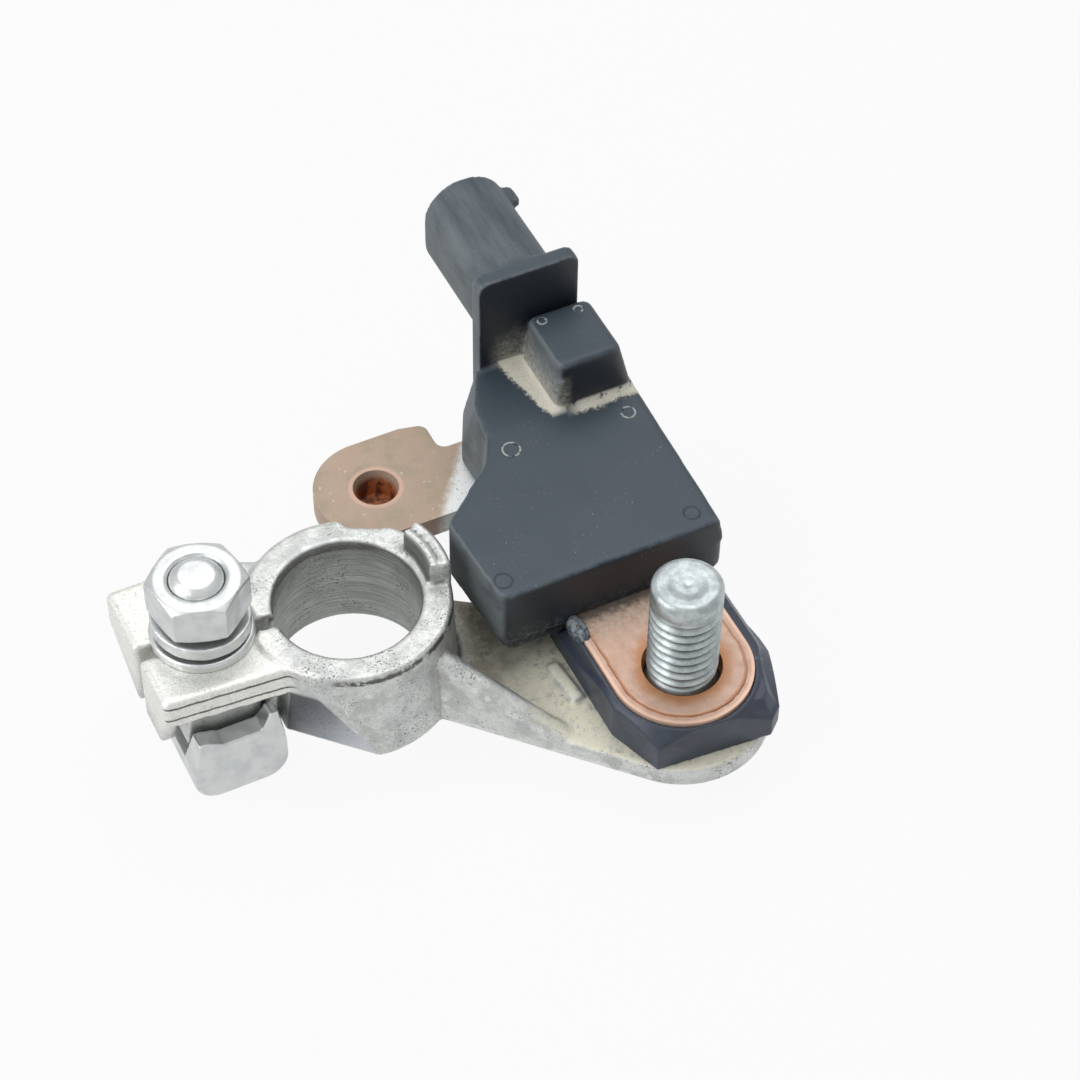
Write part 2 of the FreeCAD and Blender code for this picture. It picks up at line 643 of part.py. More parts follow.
def ground_stud():
    """Stud with a hexagon head held in the insulator, a short neck and a chamfered tip."""
    head = hexagon_prism(STUD_X, STUD_Y, STUD_HEAD_ACROSS_FLATS, STUD_HEAD_BOTTOM, STUD_HEAD_TOP)
    neck_top = CONTACT_TOP + 0.5
    neck = cylinder(STUD_X, STUD_Y, STUD_RADIUS - STUD_NECK, STUD_HEAD_TOP, neck_top)
    shank = cylinder(STUD_X, STUD_Y, STUD_RADIUS, neck_top, STUD_TOP)
    shank = shank.makeChamfer(STUD_CHAMFER, edges_at_height(shank, STUD_TOP))
    dimple = Part.makeCone(0.2, STUD_DIMPLE_RADIUS + 0.2, 1.0,
                           Vector(STUD_X, STUD_Y, STUD_TOP - 0.5))
    return head.fuse(neck).fuse(shank).cut(dimple)


def insulator_outline():
    """Plan of the insulator around the stud, anticlockwise from its back left corner."""
    left = STUD_X - INSULATOR_LEFT
    right = STUD_X + INSULATOR_RIGHT
    front = STUD_Y - INSULATOR_REACH
    back = HOUSING_FRONT_Y + BASE_INSET
    return [
        (left, back), (left, STUD_Y - 1.5), (left + 2.3, front + 0.6), (right - 4.0, front - 0.5),
        (right - 2.4, front + 0.9), (right, STUD_Y - 0.6), (right, back),
    ]


def plate_collar():
    """Rim that stands close round the stud plate and slopes down to the insulator's walls."""
    rim = stud_plate_blank(INSULATOR_WALL_TOP, COLLAR_TOP, COLLAR_WIDTH, HOUSING_FRONT_Y - COLLAR_WIDTH)
    top_radius = PLATE_END_RADIUS + COLLAR_WIDTH
    slope = Part.makeCone(top_radius + 2 * INSULATOR_SLOPE, top_radius, COLLAR_TOP - INSULATOR_WALL_TOP,
                          Vector(PLATE_CENTRE_X, STUD_Y, INSULATOR_WALL_TOP))
    return rim.fuse(slope).common(prism(insulator_outline(), INSULATOR_WALL_TOP, COLLAR_TOP))


def stud_insulator():
    """Moulded block that seats the stud plate and stud head, with a tongue under the sensor."""
    outline = insulator_outline()
    lower = prism(outline, ARM_THICKNESS, INSULATOR_WALL_TOP)
    outer = Part.makePolygon([Vector(x, y, INSULATOR_WALL_TOP) for x, y in outline + outline[:1]])
    inner = outer.makeOffset2D(-INSULATOR_SLOPE)
    inner.translate(Vector(0, 0, INSULATOR_TOP - INSULATOR_WALL_TOP))
    upper = Part.makeLoft([outer, inner], True, True)
    back = HOUSING_FRONT_Y + BASE_INSET
    rear_fill = box((STUD_X - INSULATOR_LEFT + INSULATOR_SLOPE, back - 2 * INSULATOR_SLOPE,
                     INSULATOR_WALL_TOP),
                    (STUD_X + INSULATOR_RIGHT - INSULATOR_SLOPE, back, INSULATOR_TOP))
    tongue = box((STUD_X - INSULATOR_LEFT, back - 1, ARM_THICKNESS),
                 (PLATE_RIGHT_X + 1, back + TONGUE_LENGTH, BASE_BOTTOM))
    body = lower.fuse(upper).fuse(rear_fill).fuse(tongue).fuse(plate_collar())
    pocket = stud_plate_blank(SHUNT_BOTTOM, INSULATOR_TOP + 1, POCKET_CLEARANCE)
    head_room = hexagon_prism(STUD_X, STUD_Y, STUD_HEAD_ACROSS_FLATS + 2 * POCKET_CLEARANCE,
                              STUD_HEAD_BOTTOM, SHUNT_BOTTOM + 1)
    return body.cut(pocket).cut(head_room).removeSplitter()


# Shunt

def stud_plate_blank(bottom, top, grow=0.0, back=RESISTOR_FRONT_Y):
    """Strip with a round end about the stud, optionally grown on its sides."""
    radius = PLATE_END_RADIUS + grow
    left = PLATE_CENTRE_X - radius
    right = PLATE_CENTRE_X + radius
    strip = box((left, STUD_Y, bottom), (right, back, top))
    return strip.fuse(cylinder(PLATE_CENTRE_X, STUD_Y, radius, bottom, top)).removeSplitter()


def shunt_stud_plate():
    """Copper plate under the cable lug, with a raised contact face around the stud."""
    plate = stud_plate_blank(SHUNT_BOTTOM, SHUNT_TOP - CONTACT_RAISE)
    contact = stud_plate_blank(SHUNT_BOTTOM + 1, SHUNT_TOP, -CONTACT_INSET, HOUSING_FRONT_Y - 0.6)
    plate = plate.fuse(contact)
    plate = plate.cut(cylinder(STUD_X, STUD_Y, PLATE_HOLE_RADIUS, SHUNT_BOTTOM - 1, SHUNT_TOP + 1))
    return plate.removeSplitter()


def shunt_resistor():
    """Resistor strip between the two copper plates."""
    return box((PLATE_LEFT_X, RESISTOR_FRONT_Y, SHUNT_BOTTOM),
               (PLATE_RIGHT_X, RESISTOR_BACK_Y, SHUNT_TOP - CONTACT_RAISE))


def shunt_tab_plate():
    """Copper plate from the resistor to the round tab, pressed into the lug by a dimple."""
    tab_top_y = TAB_Y + TAB_RADIUS
    straight = [
        (TAB_X, TAB_FRONT_Y), (PLATE_RIGHT_X, TAB_FRONT_Y), (PLATE_RIGHT_X, TAB_BACK_Y),
        (TAB_NOTCH_X, TAB_BACK_Y), (TAB_NOTCH_X, tab_top_y - 0.7), (TAB_NOTCH_X - 3, tab_top_y),
        (TAB_X, tab_top_y),
    ]
    top = SHUNT_TOP - CONTACT_RAISE
    plate = prism(straight, SHUNT_BOTTOM, top)
    plate = round_upright_edges(plate, TAB_CORNER, lambda p: abs(p.x - TAB_NOTCH_X) < 0.1)
    plate = plate.fuse(cylinder(TAB_X, TAB_Y, TAB_RADIUS, SHUNT_BOTTOM, top))
    cup_bottom = top - DIMPLE_DEPTH
    narrowing = (top - cup_bottom - DIMPLE_WALL) * math.tan(math.radians(DIMPLE_DRAFT))
    cup = cylinder(TAB_X, TAB_Y, DIMPLE_RADIUS + DIMPLE_WALL, cup_bottom, top)
    hollow = Part.makeCone(DIMPLE_RADIUS - narrowing, DIMPLE_RADIUS, top - cup_bottom - DIMPLE_WALL,
                           Vector(TAB_X, TAB_Y, cup_bottom + DIMPLE_WALL))
    return plate.fuse(cup).cut(hollow).removeSplitter()


# Sensor housing

def housing_outline(spread=0.0):
    """Plan of the housing, anticlockwise from its front left corner; spread moves its sides out."""
    right = HOUSING_RIGHT_X + spread * 0.7
    return [
        (HOUSING_LEFT_X, HOUSING_FRONT_Y),
        (right, HOUSING_FRONT_Y),
        (right + HOUSING_TAPER, HOUSING_BACK_Y),
        (FLANGE_LEFT_X - 0.5 - spread, HOUSING_BACK_Y),
        (FLANGE_LEFT_X - 3.0 - spread, HOUSING_BACK_Y - 5.0),
        (FLANGE_LEFT_X - 3.6 - spread * 0.6, HOUSING_BACK_Y - 9.6),
        (FLANGE_LEFT_X - 5.4, HOUSING_BACK_Y - 12.9),
        (HOUSING_LEFT_X - 0.9, HOUSING_FRONT_Y + 12.1),
    ]


def outline_wire(points, height):
    """Closed polygon of XY points at a height."""
    corners = [Vector(x, y, height) for x, y in points]
    return Part.makePolygon(corners + corners[:1])


def housing_body():
    """Box of the housing: upright walls below, sides that slope in above, and a top that falls forward."""
    split = HOUSING_TOP - SHOULDER_HEIGHT
    wide = housing_outline(SHOULDER_SPREAD)
    lower = prism(wide, HOUSING_BOTTOM, split)
    upper = Part.makeLoft([outline_wire(wide, split), outline_wire(housing_outline(), HOUSING_TOP)],
                          True, True)
    body = lower.fuse(upper).removeSplitter()
    corners_y = HOUSING_FRONT_Y + 1
    front_corners = [e for e in body.Edges if is_upright(e, 0.9) and e.CenterOfMass.y < corners_y]
    body = body.makeFillet(HOUSING_ROUND, front_corners)
    front = HOUSING_FRONT_Y - 1
    slice_points = [
        Vector(0, front, HOUSING_TOP - HOUSING_TOP_FALL), Vector(0, BLOCK_FRONT_Y, HOUSING_TOP),
        Vector(0, BLOCK_FRONT_Y, HOUSING_TOP + 1), Vector(0, front, HOUSING_TOP + 1),
    ]
    above = Part.Face(Part.makePolygon(slice_points + slice_points[:1]))
    return body.cut(above.extrude(Vector(HOUSING_RIGHT_X + 5, 0, 0)))


def socket_prism(start_y, end_y, shrink):
    """Oval prism along Y, drawn in from the socket's outer size."""
    half_x = SOCKET_WIDTH / 2 - shrink
    half_z = SOCKET_HEIGHT / 2 - shrink
    radius = SOCKET_ROUND - shrink
    centre = Vector(SOCKET_CENTRE_X, start_y, SOCKET_CENTRE_Z)
    arcs = []
    for quarter, (side, level) in enumerate([(1, 1), (-1, 1), (-1, -1), (1, -1)]):
        middle = centre + Vector(side * (half_x - radius), 0, level * (half_z - radius))
        rays = [math.radians(90 * quarter + turn) for turn in (0, 45, 90)]
        points = [middle + Vector(math.cos(a), 0, math.sin(a)) * radius for a in rays]
        arcs.append(Part.Arc(*points).toShape())
    edges = []
    for arc, following in zip(arcs, arcs[1:] + arcs[:1]):
        edges.append(arc)
        edges.append(Part.makeLine(arc.Vertexes[-1].Point, following.Vertexes[0].Point))
    return Part.Face(Part.Wire(edges)).extrude(Vector(0, end_y - start_y, 0))


def latch_nub():
    """Small catch on the socket's right side that the plug's latch snaps over."""
    side_x = SOCKET_CENTRE_X + SOCKET_WIDTH / 2
    bottom = SOCKET_CENTRE_Z + SOCKET_HEIGHT / 2 - SOCKET_ROUND + LATCH_HEIGHT / 2
    end_y = SOCKET_MOUTH_Y - 0.3
    points = [
        Vector(side_x - 1.2, end_y - LATCH_LENGTH, bottom),
        Vector(side_x + LATCH_REACH, end_y - LATCH_LENGTH, bottom),
        Vector(side_x + LATCH_REACH, end_y - 0.6, bottom),
        Vector(side_x + LATCH_REACH - 0.4, end_y, bottom),
        Vector(side_x - 1.2, end_y, bottom),
    ]
    return Part.Face(Part.makePolygon(points + points[:1])).extrude(Vector(0, 0, LATCH_HEIGHT))


def pin_block():
    """Drafted block on the housing where the connector pins turn down."""
    base = [
        (BLOCK_LEFT_X, BLOCK_FRONT_Y), (HOUSING_RIGHT_X + BLOCK_OVERHANG, BLOCK_FRONT_Y),
        (HOUSING_RIGHT_X + BLOCK_OVERHANG, HOUSING_BACK_Y), (BLOCK_LEFT_X, HOUSING_BACK_Y),
    ]
    right = HOUSING_RIGHT_X + BLOCK_OVERHANG - BLOCK_DRAFT_RIGHT
    left = BLOCK_LEFT_X + BLOCK_DRAFT_LEFT
    back = HOUSING_BACK_Y - BLOCK_DRAFT_BACK
    top = [(left, BLOCK_FRONT_Y), (right, BLOCK_FRONT_Y), (right, back), (left, back)]
    block = Part.makeLoft([outline_wire(base, HOUSING_TOP - 0.5),
                           outline_wire(top, HOUSING_TOP + BLOCK_HEIGHT)], True, True)
    slopes = [e for e in block.Edges if e.BoundBox.ZLength > BLOCK_HEIGHT]
    block = block.makeChamfer(BLOCK_CORNER, slopes)
    return block.makeChamfer(BLOCK_EDGE, edges_at_height(block, HOUSING_TOP + BLOCK_HEIGHT))


def sensor_housing():
    """Cover of the sensor, moulded in one with its pin block, flange and plug socket."""
    body = housing_body()
    flange = box((FLANGE_LEFT_X, HOUSING_BACK_Y, HOUSING_BOTTOM),
                 (FLANGE_LEFT_X + FLANGE_WIDTH, FLANGE_BACK_Y, FLANGE_TOP))
    top_corners = [e for e in edges_along_y(flange) if e.CenterOfMass.z > FLANGE_TOP - 1]
    flange = flange.makeFillet(FLANGE_ROUND, top_corners)
    outside = socket_prism(FLANGE_BACK_Y - 0.5, SOCKET_MOUTH_Y, 0)
    inside = socket_prism(SOCKET_MOUTH_Y - SOCKET_DEPTH, SOCKET_MOUTH_Y + 1, SOCKET_WALL)
    body = body.fuse(pin_block()).fuse(flange).fuse(outside).fuse(latch_nub())
    cavity = Part.Face(outline_wire(housing_outline(SHOULDER_SPREAD), HOUSING_BOTTOM - 1))
    cavity = cavity.makeOffset2D(-HOUSING_WALL - 0.5 * SHOULDER_SPREAD)
    cavity = cavity.extrude(Vector(0, 0, HOUSING_HEIGHT + 1 - HOUSING_WALL - HOUSING_TOP_FALL))
    body = body.cut(cavity).cut(inside).cut(shunt_room())
    for side in (-1, 1):
        body = body.cut(connector_pin(side))
    return body.removeSplitter()


def shunt_room():
    """Space that the shunt takes inside the sensor, with a small clearance round its sides."""
    grow = POCKET_CLEARANCE
    strip = stud_plate_blank(SHUNT_BOTTOM, SHUNT_TOP, grow, RESISTOR_BACK_Y)
    cross = box((TAB_X, TAB_FRONT_Y - grow, SHUNT_BOTTOM),
                (PLATE_RIGHT_X + grow, TAB_BACK_Y + grow, SHUNT_TOP))
    return strip.fuse(cross)


def housing_base():
    """Cover plate that closes the housing from below and carries the shunt."""
    face = Part.Face(outline_wire(housing_outline(SHOULDER_SPREAD), BASE_BOTTOM))
    plate = face.makeOffset2D(-BASE_INSET).extrude(Vector(0, 0, BASE_THICKNESS))
    front = HOUSING_FRONT_Y + BASE_INSET + 0.1
    plate = round_upright_edges(plate, HOUSING_ROUND, lambda p: p.y < front)
    return plate.cut(shunt_room()).removeSplitter()


# Electronics inside the housing

def board_outline():
    """Plan of the circuit board, a step inside the housing's cavity."""
    face = Part.Face(outline_wire(housing_outline(SHOULDER_SPREAD), BOARD_BOTTOM))
    return face.makeOffset2D(-HOUSING_WALL - 0.5 * SHOULDER_SPREAD - BOARD_GAP)


def circuit_board():
    """Board that carries the chip and the connector pins."""
    return board_outline().extrude(Vector(0, 0, BOARD_THICKNESS))


def connector_pin(side):
    """Blade in the socket that turns down inside the flange and back onto the board."""
    x = SOCKET_CENTRE_X + side * PIN_SPACING / 2
    left = x - PIN_WIDTH / 2
    right = x + PIN_WIDTH / 2
    half = PIN_THICKNESS / 2
    bend_y = HOUSING_BACK_Y + FLANGE_THICKNESS / 2
    tip_y = SOCKET_MOUTH_Y - SOCKET_DEPTH + PIN_REACH
    foot_y = HOUSING_BACK_Y - HOUSING_WALL - SHOULDER_SPREAD - 1.5
    blade = box((left, bend_y - half, SOCKET_CENTRE_Z - half),
                (right, tip_y, SOCKET_CENTRE_Z + half))
    drop = box((left, bend_y - half, BOARD_TOP), (right, bend_y + half, SOCKET_CENTRE_Z + half))
    foot = box((left, foot_y, BOARD_TOP), (right, bend_y + half, BOARD_TOP + PIN_THICKNESS))
    return blade.fuse(drop).fuse(foot).removeSplitter()


def sense_pins():
    """Four pins that carry the shunt's voltage up to the board."""
    pins = []
    for y in (RESISTOR_FRONT_Y - 1.5, RESISTOR_BACK_Y + 1.5):
        for step in (-1, 1):
            x = PLATE_CENTRE_X + step * SENSE_PIN_SPREAD
            half = SENSE_PIN_SIZE / 2
            pins.append(box((x - half, y - half, SHUNT_TOP - CONTACT_RAISE), (x + half, y + half, BOARD_BOTTOM)))
    return Part.makeCompound(pins)


def measuring_chip():
    """Square measuring chip on top of the board."""
    x = PLATE_CENTRE_X
    y = (RESISTOR_FRONT_Y + RESISTOR_BACK_Y) / 2 - 4
    half = CHIP_SIZE / 2
    return box((x - half, y - half, BOARD_TOP), (x + half, y + half, BOARD_TOP + CHIP_HEIGHT))


def board_capacitors():
    """Row of four small capacitors beside the chip."""
    pieces = []
    x = HOUSING_LEFT_X + 2 * CAPACITOR_LENGTH
    for step in range(4):
        y = HOUSING_FRONT_Y + 2 * HOUSING_WALL + step * CAPACITOR_PITCH
        pieces.append(box((x, y, BOARD_TOP),
                          (x + CAPACITOR_LENGTH, y + CAPACITOR_WIDTH, BOARD_TOP + CAPACITOR_HEIGHT)))
    return Part.makeCompound(pieces)


def temperature_sensor():
    """Small sensor under the board, above the resistor."""
    y = (RESISTOR_FRONT_Y + RESISTOR_BACK_Y) / 2
    return box((PLATE_CENTRE_X - 1.6, y - 0.8, BOARD_BOTTOM - 0.9),
               (PLATE_CENTRE_X + 1.6, y + 0.8, BOARD_BOTTOM))


def main():
    """Write every piece of the terminal to its own STEP file."""
    nodes = {
        "pole_clamp": pole_clamp(),
        "clamp_bolt": clamp_bolt(),
        "clamp_nut": clamp_nut(),
        "flat_washer": flat_washer(),
        "spring_washer": spring_washer(),
        "ground_stud": ground_stud(),
        "stud_insulator": stud_insulator(),
        "shunt_stud_plate": shunt_stud_plate(),
        "shunt_resistor": shunt_resistor(),
        "shunt_tab_plate": shunt_tab_plate(),
        "sensor_housing": sensor_housing(),
        "housing_base": housing_base(),
        "circuit_board": circuit_board(),
        "measuring_chip": measuring_chip(),
        "board_capacitors": board_capacitors(),
        "temperature_sensor": temperature_sensor(),
        "sense_pins": sense_pins(),
        "connector_pin_left": connector_pin(-1),
        "connector_pin_right": connector_pin(1),
    }
    os.makedirs("parts", exist_ok=True)
    for name, shape in nodes.items():
        shape.exportStep("parts/" + name + ".step")
        print(name, len(shape.Solids), shape.isValid(), round(shape.Volume, 1))


main()
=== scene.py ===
import math

import bmesh
import bpy
import numpy as np
from bpy.props import FloatProperty, FloatVectorProperty, IntProperty, PointerProperty
from mathutils import Matrix, Vector


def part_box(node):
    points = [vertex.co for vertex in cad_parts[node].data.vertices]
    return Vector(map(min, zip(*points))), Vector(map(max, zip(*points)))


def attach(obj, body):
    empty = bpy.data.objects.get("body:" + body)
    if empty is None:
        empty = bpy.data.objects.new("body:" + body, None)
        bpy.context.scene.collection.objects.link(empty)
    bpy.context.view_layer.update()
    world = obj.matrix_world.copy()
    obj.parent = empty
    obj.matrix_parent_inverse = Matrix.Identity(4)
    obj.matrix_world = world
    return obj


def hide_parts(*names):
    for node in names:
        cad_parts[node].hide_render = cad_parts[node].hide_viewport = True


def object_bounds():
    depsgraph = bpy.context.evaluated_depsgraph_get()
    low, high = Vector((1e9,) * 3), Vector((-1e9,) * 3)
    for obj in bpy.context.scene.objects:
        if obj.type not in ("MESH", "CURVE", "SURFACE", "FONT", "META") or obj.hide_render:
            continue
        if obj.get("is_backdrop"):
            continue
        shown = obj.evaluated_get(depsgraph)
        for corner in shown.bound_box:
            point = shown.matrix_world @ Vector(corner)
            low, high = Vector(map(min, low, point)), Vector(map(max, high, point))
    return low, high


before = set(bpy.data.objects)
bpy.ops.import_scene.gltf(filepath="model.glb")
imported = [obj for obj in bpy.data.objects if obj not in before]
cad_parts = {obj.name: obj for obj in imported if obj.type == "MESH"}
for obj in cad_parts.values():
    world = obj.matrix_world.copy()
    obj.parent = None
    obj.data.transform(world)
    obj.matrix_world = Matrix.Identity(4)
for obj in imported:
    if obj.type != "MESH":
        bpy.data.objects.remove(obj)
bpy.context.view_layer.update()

MM = 0.001

# Places and sizes that several finishes, pieces or lamps need; angles are in degrees

RING_TOP = 13.5 * MM
RELIEF_DISTANCE = 9.36 * MM
RELIEF_TILT = 9.4
EAR_UNDERSIDE = 9.4 * MM
SADDLE_GRID = 0.20 * MM
NUT_GRID = 0.13 * MM
INSULATOR_GRID = 0.15 * MM
EAR_LINE_LEVELS = (12.65 * MM, 10.85 * MM)
BORE_RADIUS = 8.6 * MM
STUD_CREST = 3.95 * MM
THREAD_START = 8.75 * MM
DIMPLE_AXIS = (11.0 * MM, 17.5 * MM)
FLASH_CENTRE = (22.6 * MM, -11.0 * MM, 8.3 * MM)
FLASH_HALF_SIZES = (1.05 * MM, 2.05 * MM, 0.95 * MM)
HOUSING_TOP = 17.1 * MM
BLOCK_LEFT = 31.2 * MM
BLOCK_FRONT = 12.1 * MM
PLUG_BLEND_START = 12.0 * MM
PLUG_BLEND_END = 22.5 * MM
CAMERA_PLACE = (-0.074481, -0.194849, 0.263511)
CAMERA_RIGHT = (0.89895, -0.43794, 0.01004)
CAMERA_AZIMUTH = 26.639
CAMERA_FALL = 49.135
KEY_LAMP_PLACE = (-0.48, 0.02, 0.36)
KEY_LAMP_SIZE = 0.42
BACK_LAMP_PLACE = (0.12, 0.15, 0.64)
BACK_LAMP_SIZE = 0.60
LAMP_TARGET = (0.01, 0.0, 0.01)
FLOOR_REACH = 3.0
FLOOR_GLOW = 0.92

bl_info = {
    "name": "Battery terminal",
    "version": (1, 0, 0),
    "blender": (4, 5, 0),
    "location": "3D View > Sidebar > Terminal",
    "description": "Dresses a battery pole clamp with a current sensor in its real finishes",
    "category": "Object",
}


# Sizes and colours that a user would change

def colour(name, description, value):
    """Colour property with a default."""
    return FloatVectorProperty(name=name, description=description, default=value,
                               subtype="COLOR", min=0.0, max=1.0)


def length(name, description, millimetres):
    """Length property whose default is given in millimetres."""
    return FloatProperty(name=name, description=description, default=millimetres * MM,
                         subtype="DISTANCE", unit="LENGTH", precision=5)


class CastingSettings(bpy.types.PropertyGroup):
    bright: colour("Bright metal", "Tinned casting where it is clean", (0.68, 0.70, 0.68))
    dull: colour("Dull metal", "Tinned casting where it is stained", (0.52, 0.53, 0.51))
    # The pits colour also paints shade in the hollows and under the ear's top edge.
    pits: colour("Pits", "Dark pits and scratches in the casting", (0.06, 0.06, 0.055))
    # Painted shade: this colour darkens the wall of the bore.
    bore: colour("Bore", "Grey film on the machined bore", (0.36, 0.38, 0.36))
    dust: colour("Dust", "Dry dust on the arm", (0.86, 0.82, 0.66))
    voxel: length("Grid", "Grid size of the rounded casting", 0.27)
    softening: IntProperty(name="Softening", description="How often the casting's edges are smoothed",
                           default=5, min=0, max=30)


class FastenerSettings(bpy.types.PropertyGroup):
    zinc: colour("Zinc", "Bright zinc plating of the clamp bolt, nut and washers", (0.66, 0.68, 0.67))
    # The dull zinc is spread by a random cloud.
    zinc_dull: colour("Zinc shade", "Duller zinc in the hollows", (0.55, 0.57, 0.58))
    stud: colour("Stud", "Zinc plating of the ground stud", (0.36, 0.40, 0.41))
    stud_pale: colour("Worn stud", "Pale powdery zinc on the ground stud", (0.52, 0.57, 0.57))
    stud_pitch: length("Stud pitch", "Distance between the ground stud's threads", 1.25)
    stud_depth: length("Thread depth", "Depth of the ground stud's threads", 0.72)
    stud_shoulder: length("Stud shoulder", "Plain length at the ground stud's tip", 2.3)


class ShuntSettings(bpy.types.PropertyGroup):
    copper: colour("Copper", "Dull copper round the stud", (0.70, 0.48, 0.38))
    bright: colour("Bright edge", "Bright copper along the edges", (0.88, 0.60, 0.46))
    burnt: colour("Burnt copper", "Dark orange copper at the stud hole", (0.52, 0.22, 0.08))
    tab: colour("Tab", "Pale matt copper of the tab", (0.49, 0.365, 0.28))
    tab_olive: colour("Stained tab", "Stains on the tab", (0.41, 0.34, 0.25))
    tin: colour("Tin", "Tinned band beside the housing", (0.88, 0.90, 0.88))
    dust: colour("Dust", "Dust on the copper", (0.74, 0.67, 0.55))


class PlasticSettings(bpy.types.PropertyGroup):
    top: colour("Plastic", "Moulded plastic of the sensor", (0.040, 0.059, 0.078))
    scuffed: colour("Scuffed plastic", "Scuffed edges of the plastic", (0.19, 0.23, 0.26))
    insulator: colour("Insulator", "Bluish plastic of the insulator", (0.042, 0.056, 0.090))
    # Painted light: this colour makes the left faces and the plug's end paler, as if lit, and pales the low
    # sides in patches.
    film: colour("Film", "Grey film on the sides of the plastic", (0.22, 0.25, 0.26))
    dust: colour("Dust", "Dry dust in the corners", (0.86, 0.82, 0.70))
    voxel: length("Grid", "Grid size of the rounded housing", 0.30)
    softening: IntProperty(name="Softening", description="How often the housing's edges are smoothed",
                           default=11, min=0, max=30)
    plug_softening: IntProperty(name="Plug softening",
                                description="How often the edges at the plug's end are smoothed",
                                default=3, min=0, max=30)


class StageSettings(bpy.types.PropertyGroup):
    floor: colour("Floor", "Pale floor", (0.62, 0.62, 0.62))
    lens: FloatProperty(name="Lens", description="Focal length of the camera", default=100.0, unit="CAMERA")
    sky: FloatProperty(name="Sky", description="Strength of the even light from all sides", default=0.38)
    key: FloatProperty(name="Key lamp", description="Power of the large lamp on the left", default=1.6)
    back: FloatProperty(name="Back lamp", description="Power of the wide lamp overhead", default=1.9)


# Colours that each belong to one finish

TIN_BLUISH = (0.50, 0.49, 0.56)
EAR_WHITE = (0.92, 0.92, 0.86)
SAND_GREY = (0.32, 0.32, 0.31)
ARM_STAIN = (0.20, 0.17, 0.13)
BORE_TURNED = (0.22, 0.23, 0.22)
BORE_TOP_DARK = (0.13, 0.13, 0.12)
FLANK_SHADE_PALE = (0.56, 0.59, 0.63)
FLANK_SHADE_DEEP = (0.03, 0.033, 0.045)
RIDGE_WEAR_AND_HIGHLIGHT = (0.90, 0.91, 0.90)
ZINC_HOLLOW_SHADE = (0.16, 0.15, 0.14)
ZINC_EDGE = (0.92, 0.93, 0.93)
STUD_GRIT = (0.22, 0.23, 0.23)
STUD_VALLEY_SHADE = (0.07, 0.075, 0.075)
COPPER_MOTTLE = (0.58, 0.37, 0.27)
COPPER_SCORED = (0.50, 0.22, 0.10)
COPPER_SHADOW_AND_GRIME = (0.12, 0.10, 0.085)
TAB_FLECK = (0.80, 0.68, 0.58)
DIMPLE_ORANGE = (0.42, 0.13, 0.04)
DIMPLE_SHADE = (0.10, 0.03, 0.015)
DIMPLE_LIP = (0.80, 0.50, 0.38)
TIN_SPECK = (0.16, 0.16, 0.15)
PLASTIC_CLOUD = (0.030, 0.043, 0.060)
PLASTIC_SIDE_SHADE = (0.013, 0.018, 0.025)
PLASTIC_FLECK = (0.40, 0.42, 0.42)
RING_SUNK = (0.020, 0.026, 0.034)
RING_CHALK = (0.55, 0.56, 0.54)
INSULATOR_CLOUD = (0.026, 0.034, 0.050)
FLASH_CHALK = (0.46, 0.50, 0.52)
RESISTOR_PALE = (0.52, 0.44, 0.38)
RESISTOR_DARK = (0.44, 0.36, 0.30)
LACQUER_DARK = (0.02, 0.16, 0.06)
LACQUER_PALE = (0.03, 0.20, 0.08)
CHIP_DARK = (0.02, 0.02, 0.02)
CHIP_PALE = (0.035, 0.035, 0.035)
PIN_PALE = (0.78, 0.77, 0.72)
PIN_DARK = (0.66, 0.64, 0.58)


# Meshes

def upright_axis(node):
    """X and Y of the upright axis through the middle of a node's box."""
    low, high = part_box(node)
    return ((low[0] + high[0]) / 2, (low[1] + high[1]) / 2)


def add_piece(name, mesh, body, material):
    """Links a mesh as a piece that rides on a body and wears a material."""
    piece = bpy.data.objects.new(name, mesh)
    bpy.context.scene.collection.objects.link(piece)
    mesh.materials.clear()
    mesh.materials.append(material)
    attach(piece, body)
    return piece


def dress(node, material):
    """Puts a material on a node of the fixed model."""
    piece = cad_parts[node]
    piece.data.materials.clear()
    piece.data.materials.append(material)


def softened_copy(node, voxel, rounds):
    """The node's shape on an even grid, with its edges and corners rounded off by smoothing."""
    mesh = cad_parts[node].data.copy()
    shape = bmesh.new()
    shape.from_mesh(mesh)
    bmesh.ops.remove_doubles(shape, verts=shape.verts, dist=1e-6)
    shape.to_mesh(mesh)
    shape.free()
    holder = bpy.data.objects.new("holder", mesh)
    bpy.context.scene.collection.objects.link(holder)
    grid = holder.modifiers.new("Grid", "REMESH")
    grid.mode = "VOXEL"
    grid.voxel_size = voxel
    grid.use_smooth_shade = True
    smooth = holder.modifiers.new("Smooth", "SMOOTH")
    smooth.factor = 0.5
    smooth.iterations = rounds
    bpy.context.view_layer.update()
    seen = holder.evaluated_get(bpy.context.evaluated_depsgraph_get())
    result = bpy.data.meshes.new_from_object(seen)
    bpy.data.objects.remove(holder)
    bpy.data.meshes.remove(mesh)
    return result


def crisper_end(soft, crisp, start, full):
    """Gives a softened mesh the less softened places of its twin, from start to full along Y."""
    places = [np.empty(len(mesh.vertices) * 3) for mesh in (soft, crisp)]
    for mesh, values in zip((soft, crisp), places):
        mesh.vertices.foreach_get("co", values)
    rounded, sharp = (values.reshape(-1, 3) for values in places)
    share = np.clip((sharp[:, 1:2] - start) / (full - start), 0.0, 1.0)
    soft.vertices.foreach_set("co", (rounded + (sharp - rounded) * share).ravel())
    soft.update()
    bpy.data.meshes.remove(crisp)
    return soft


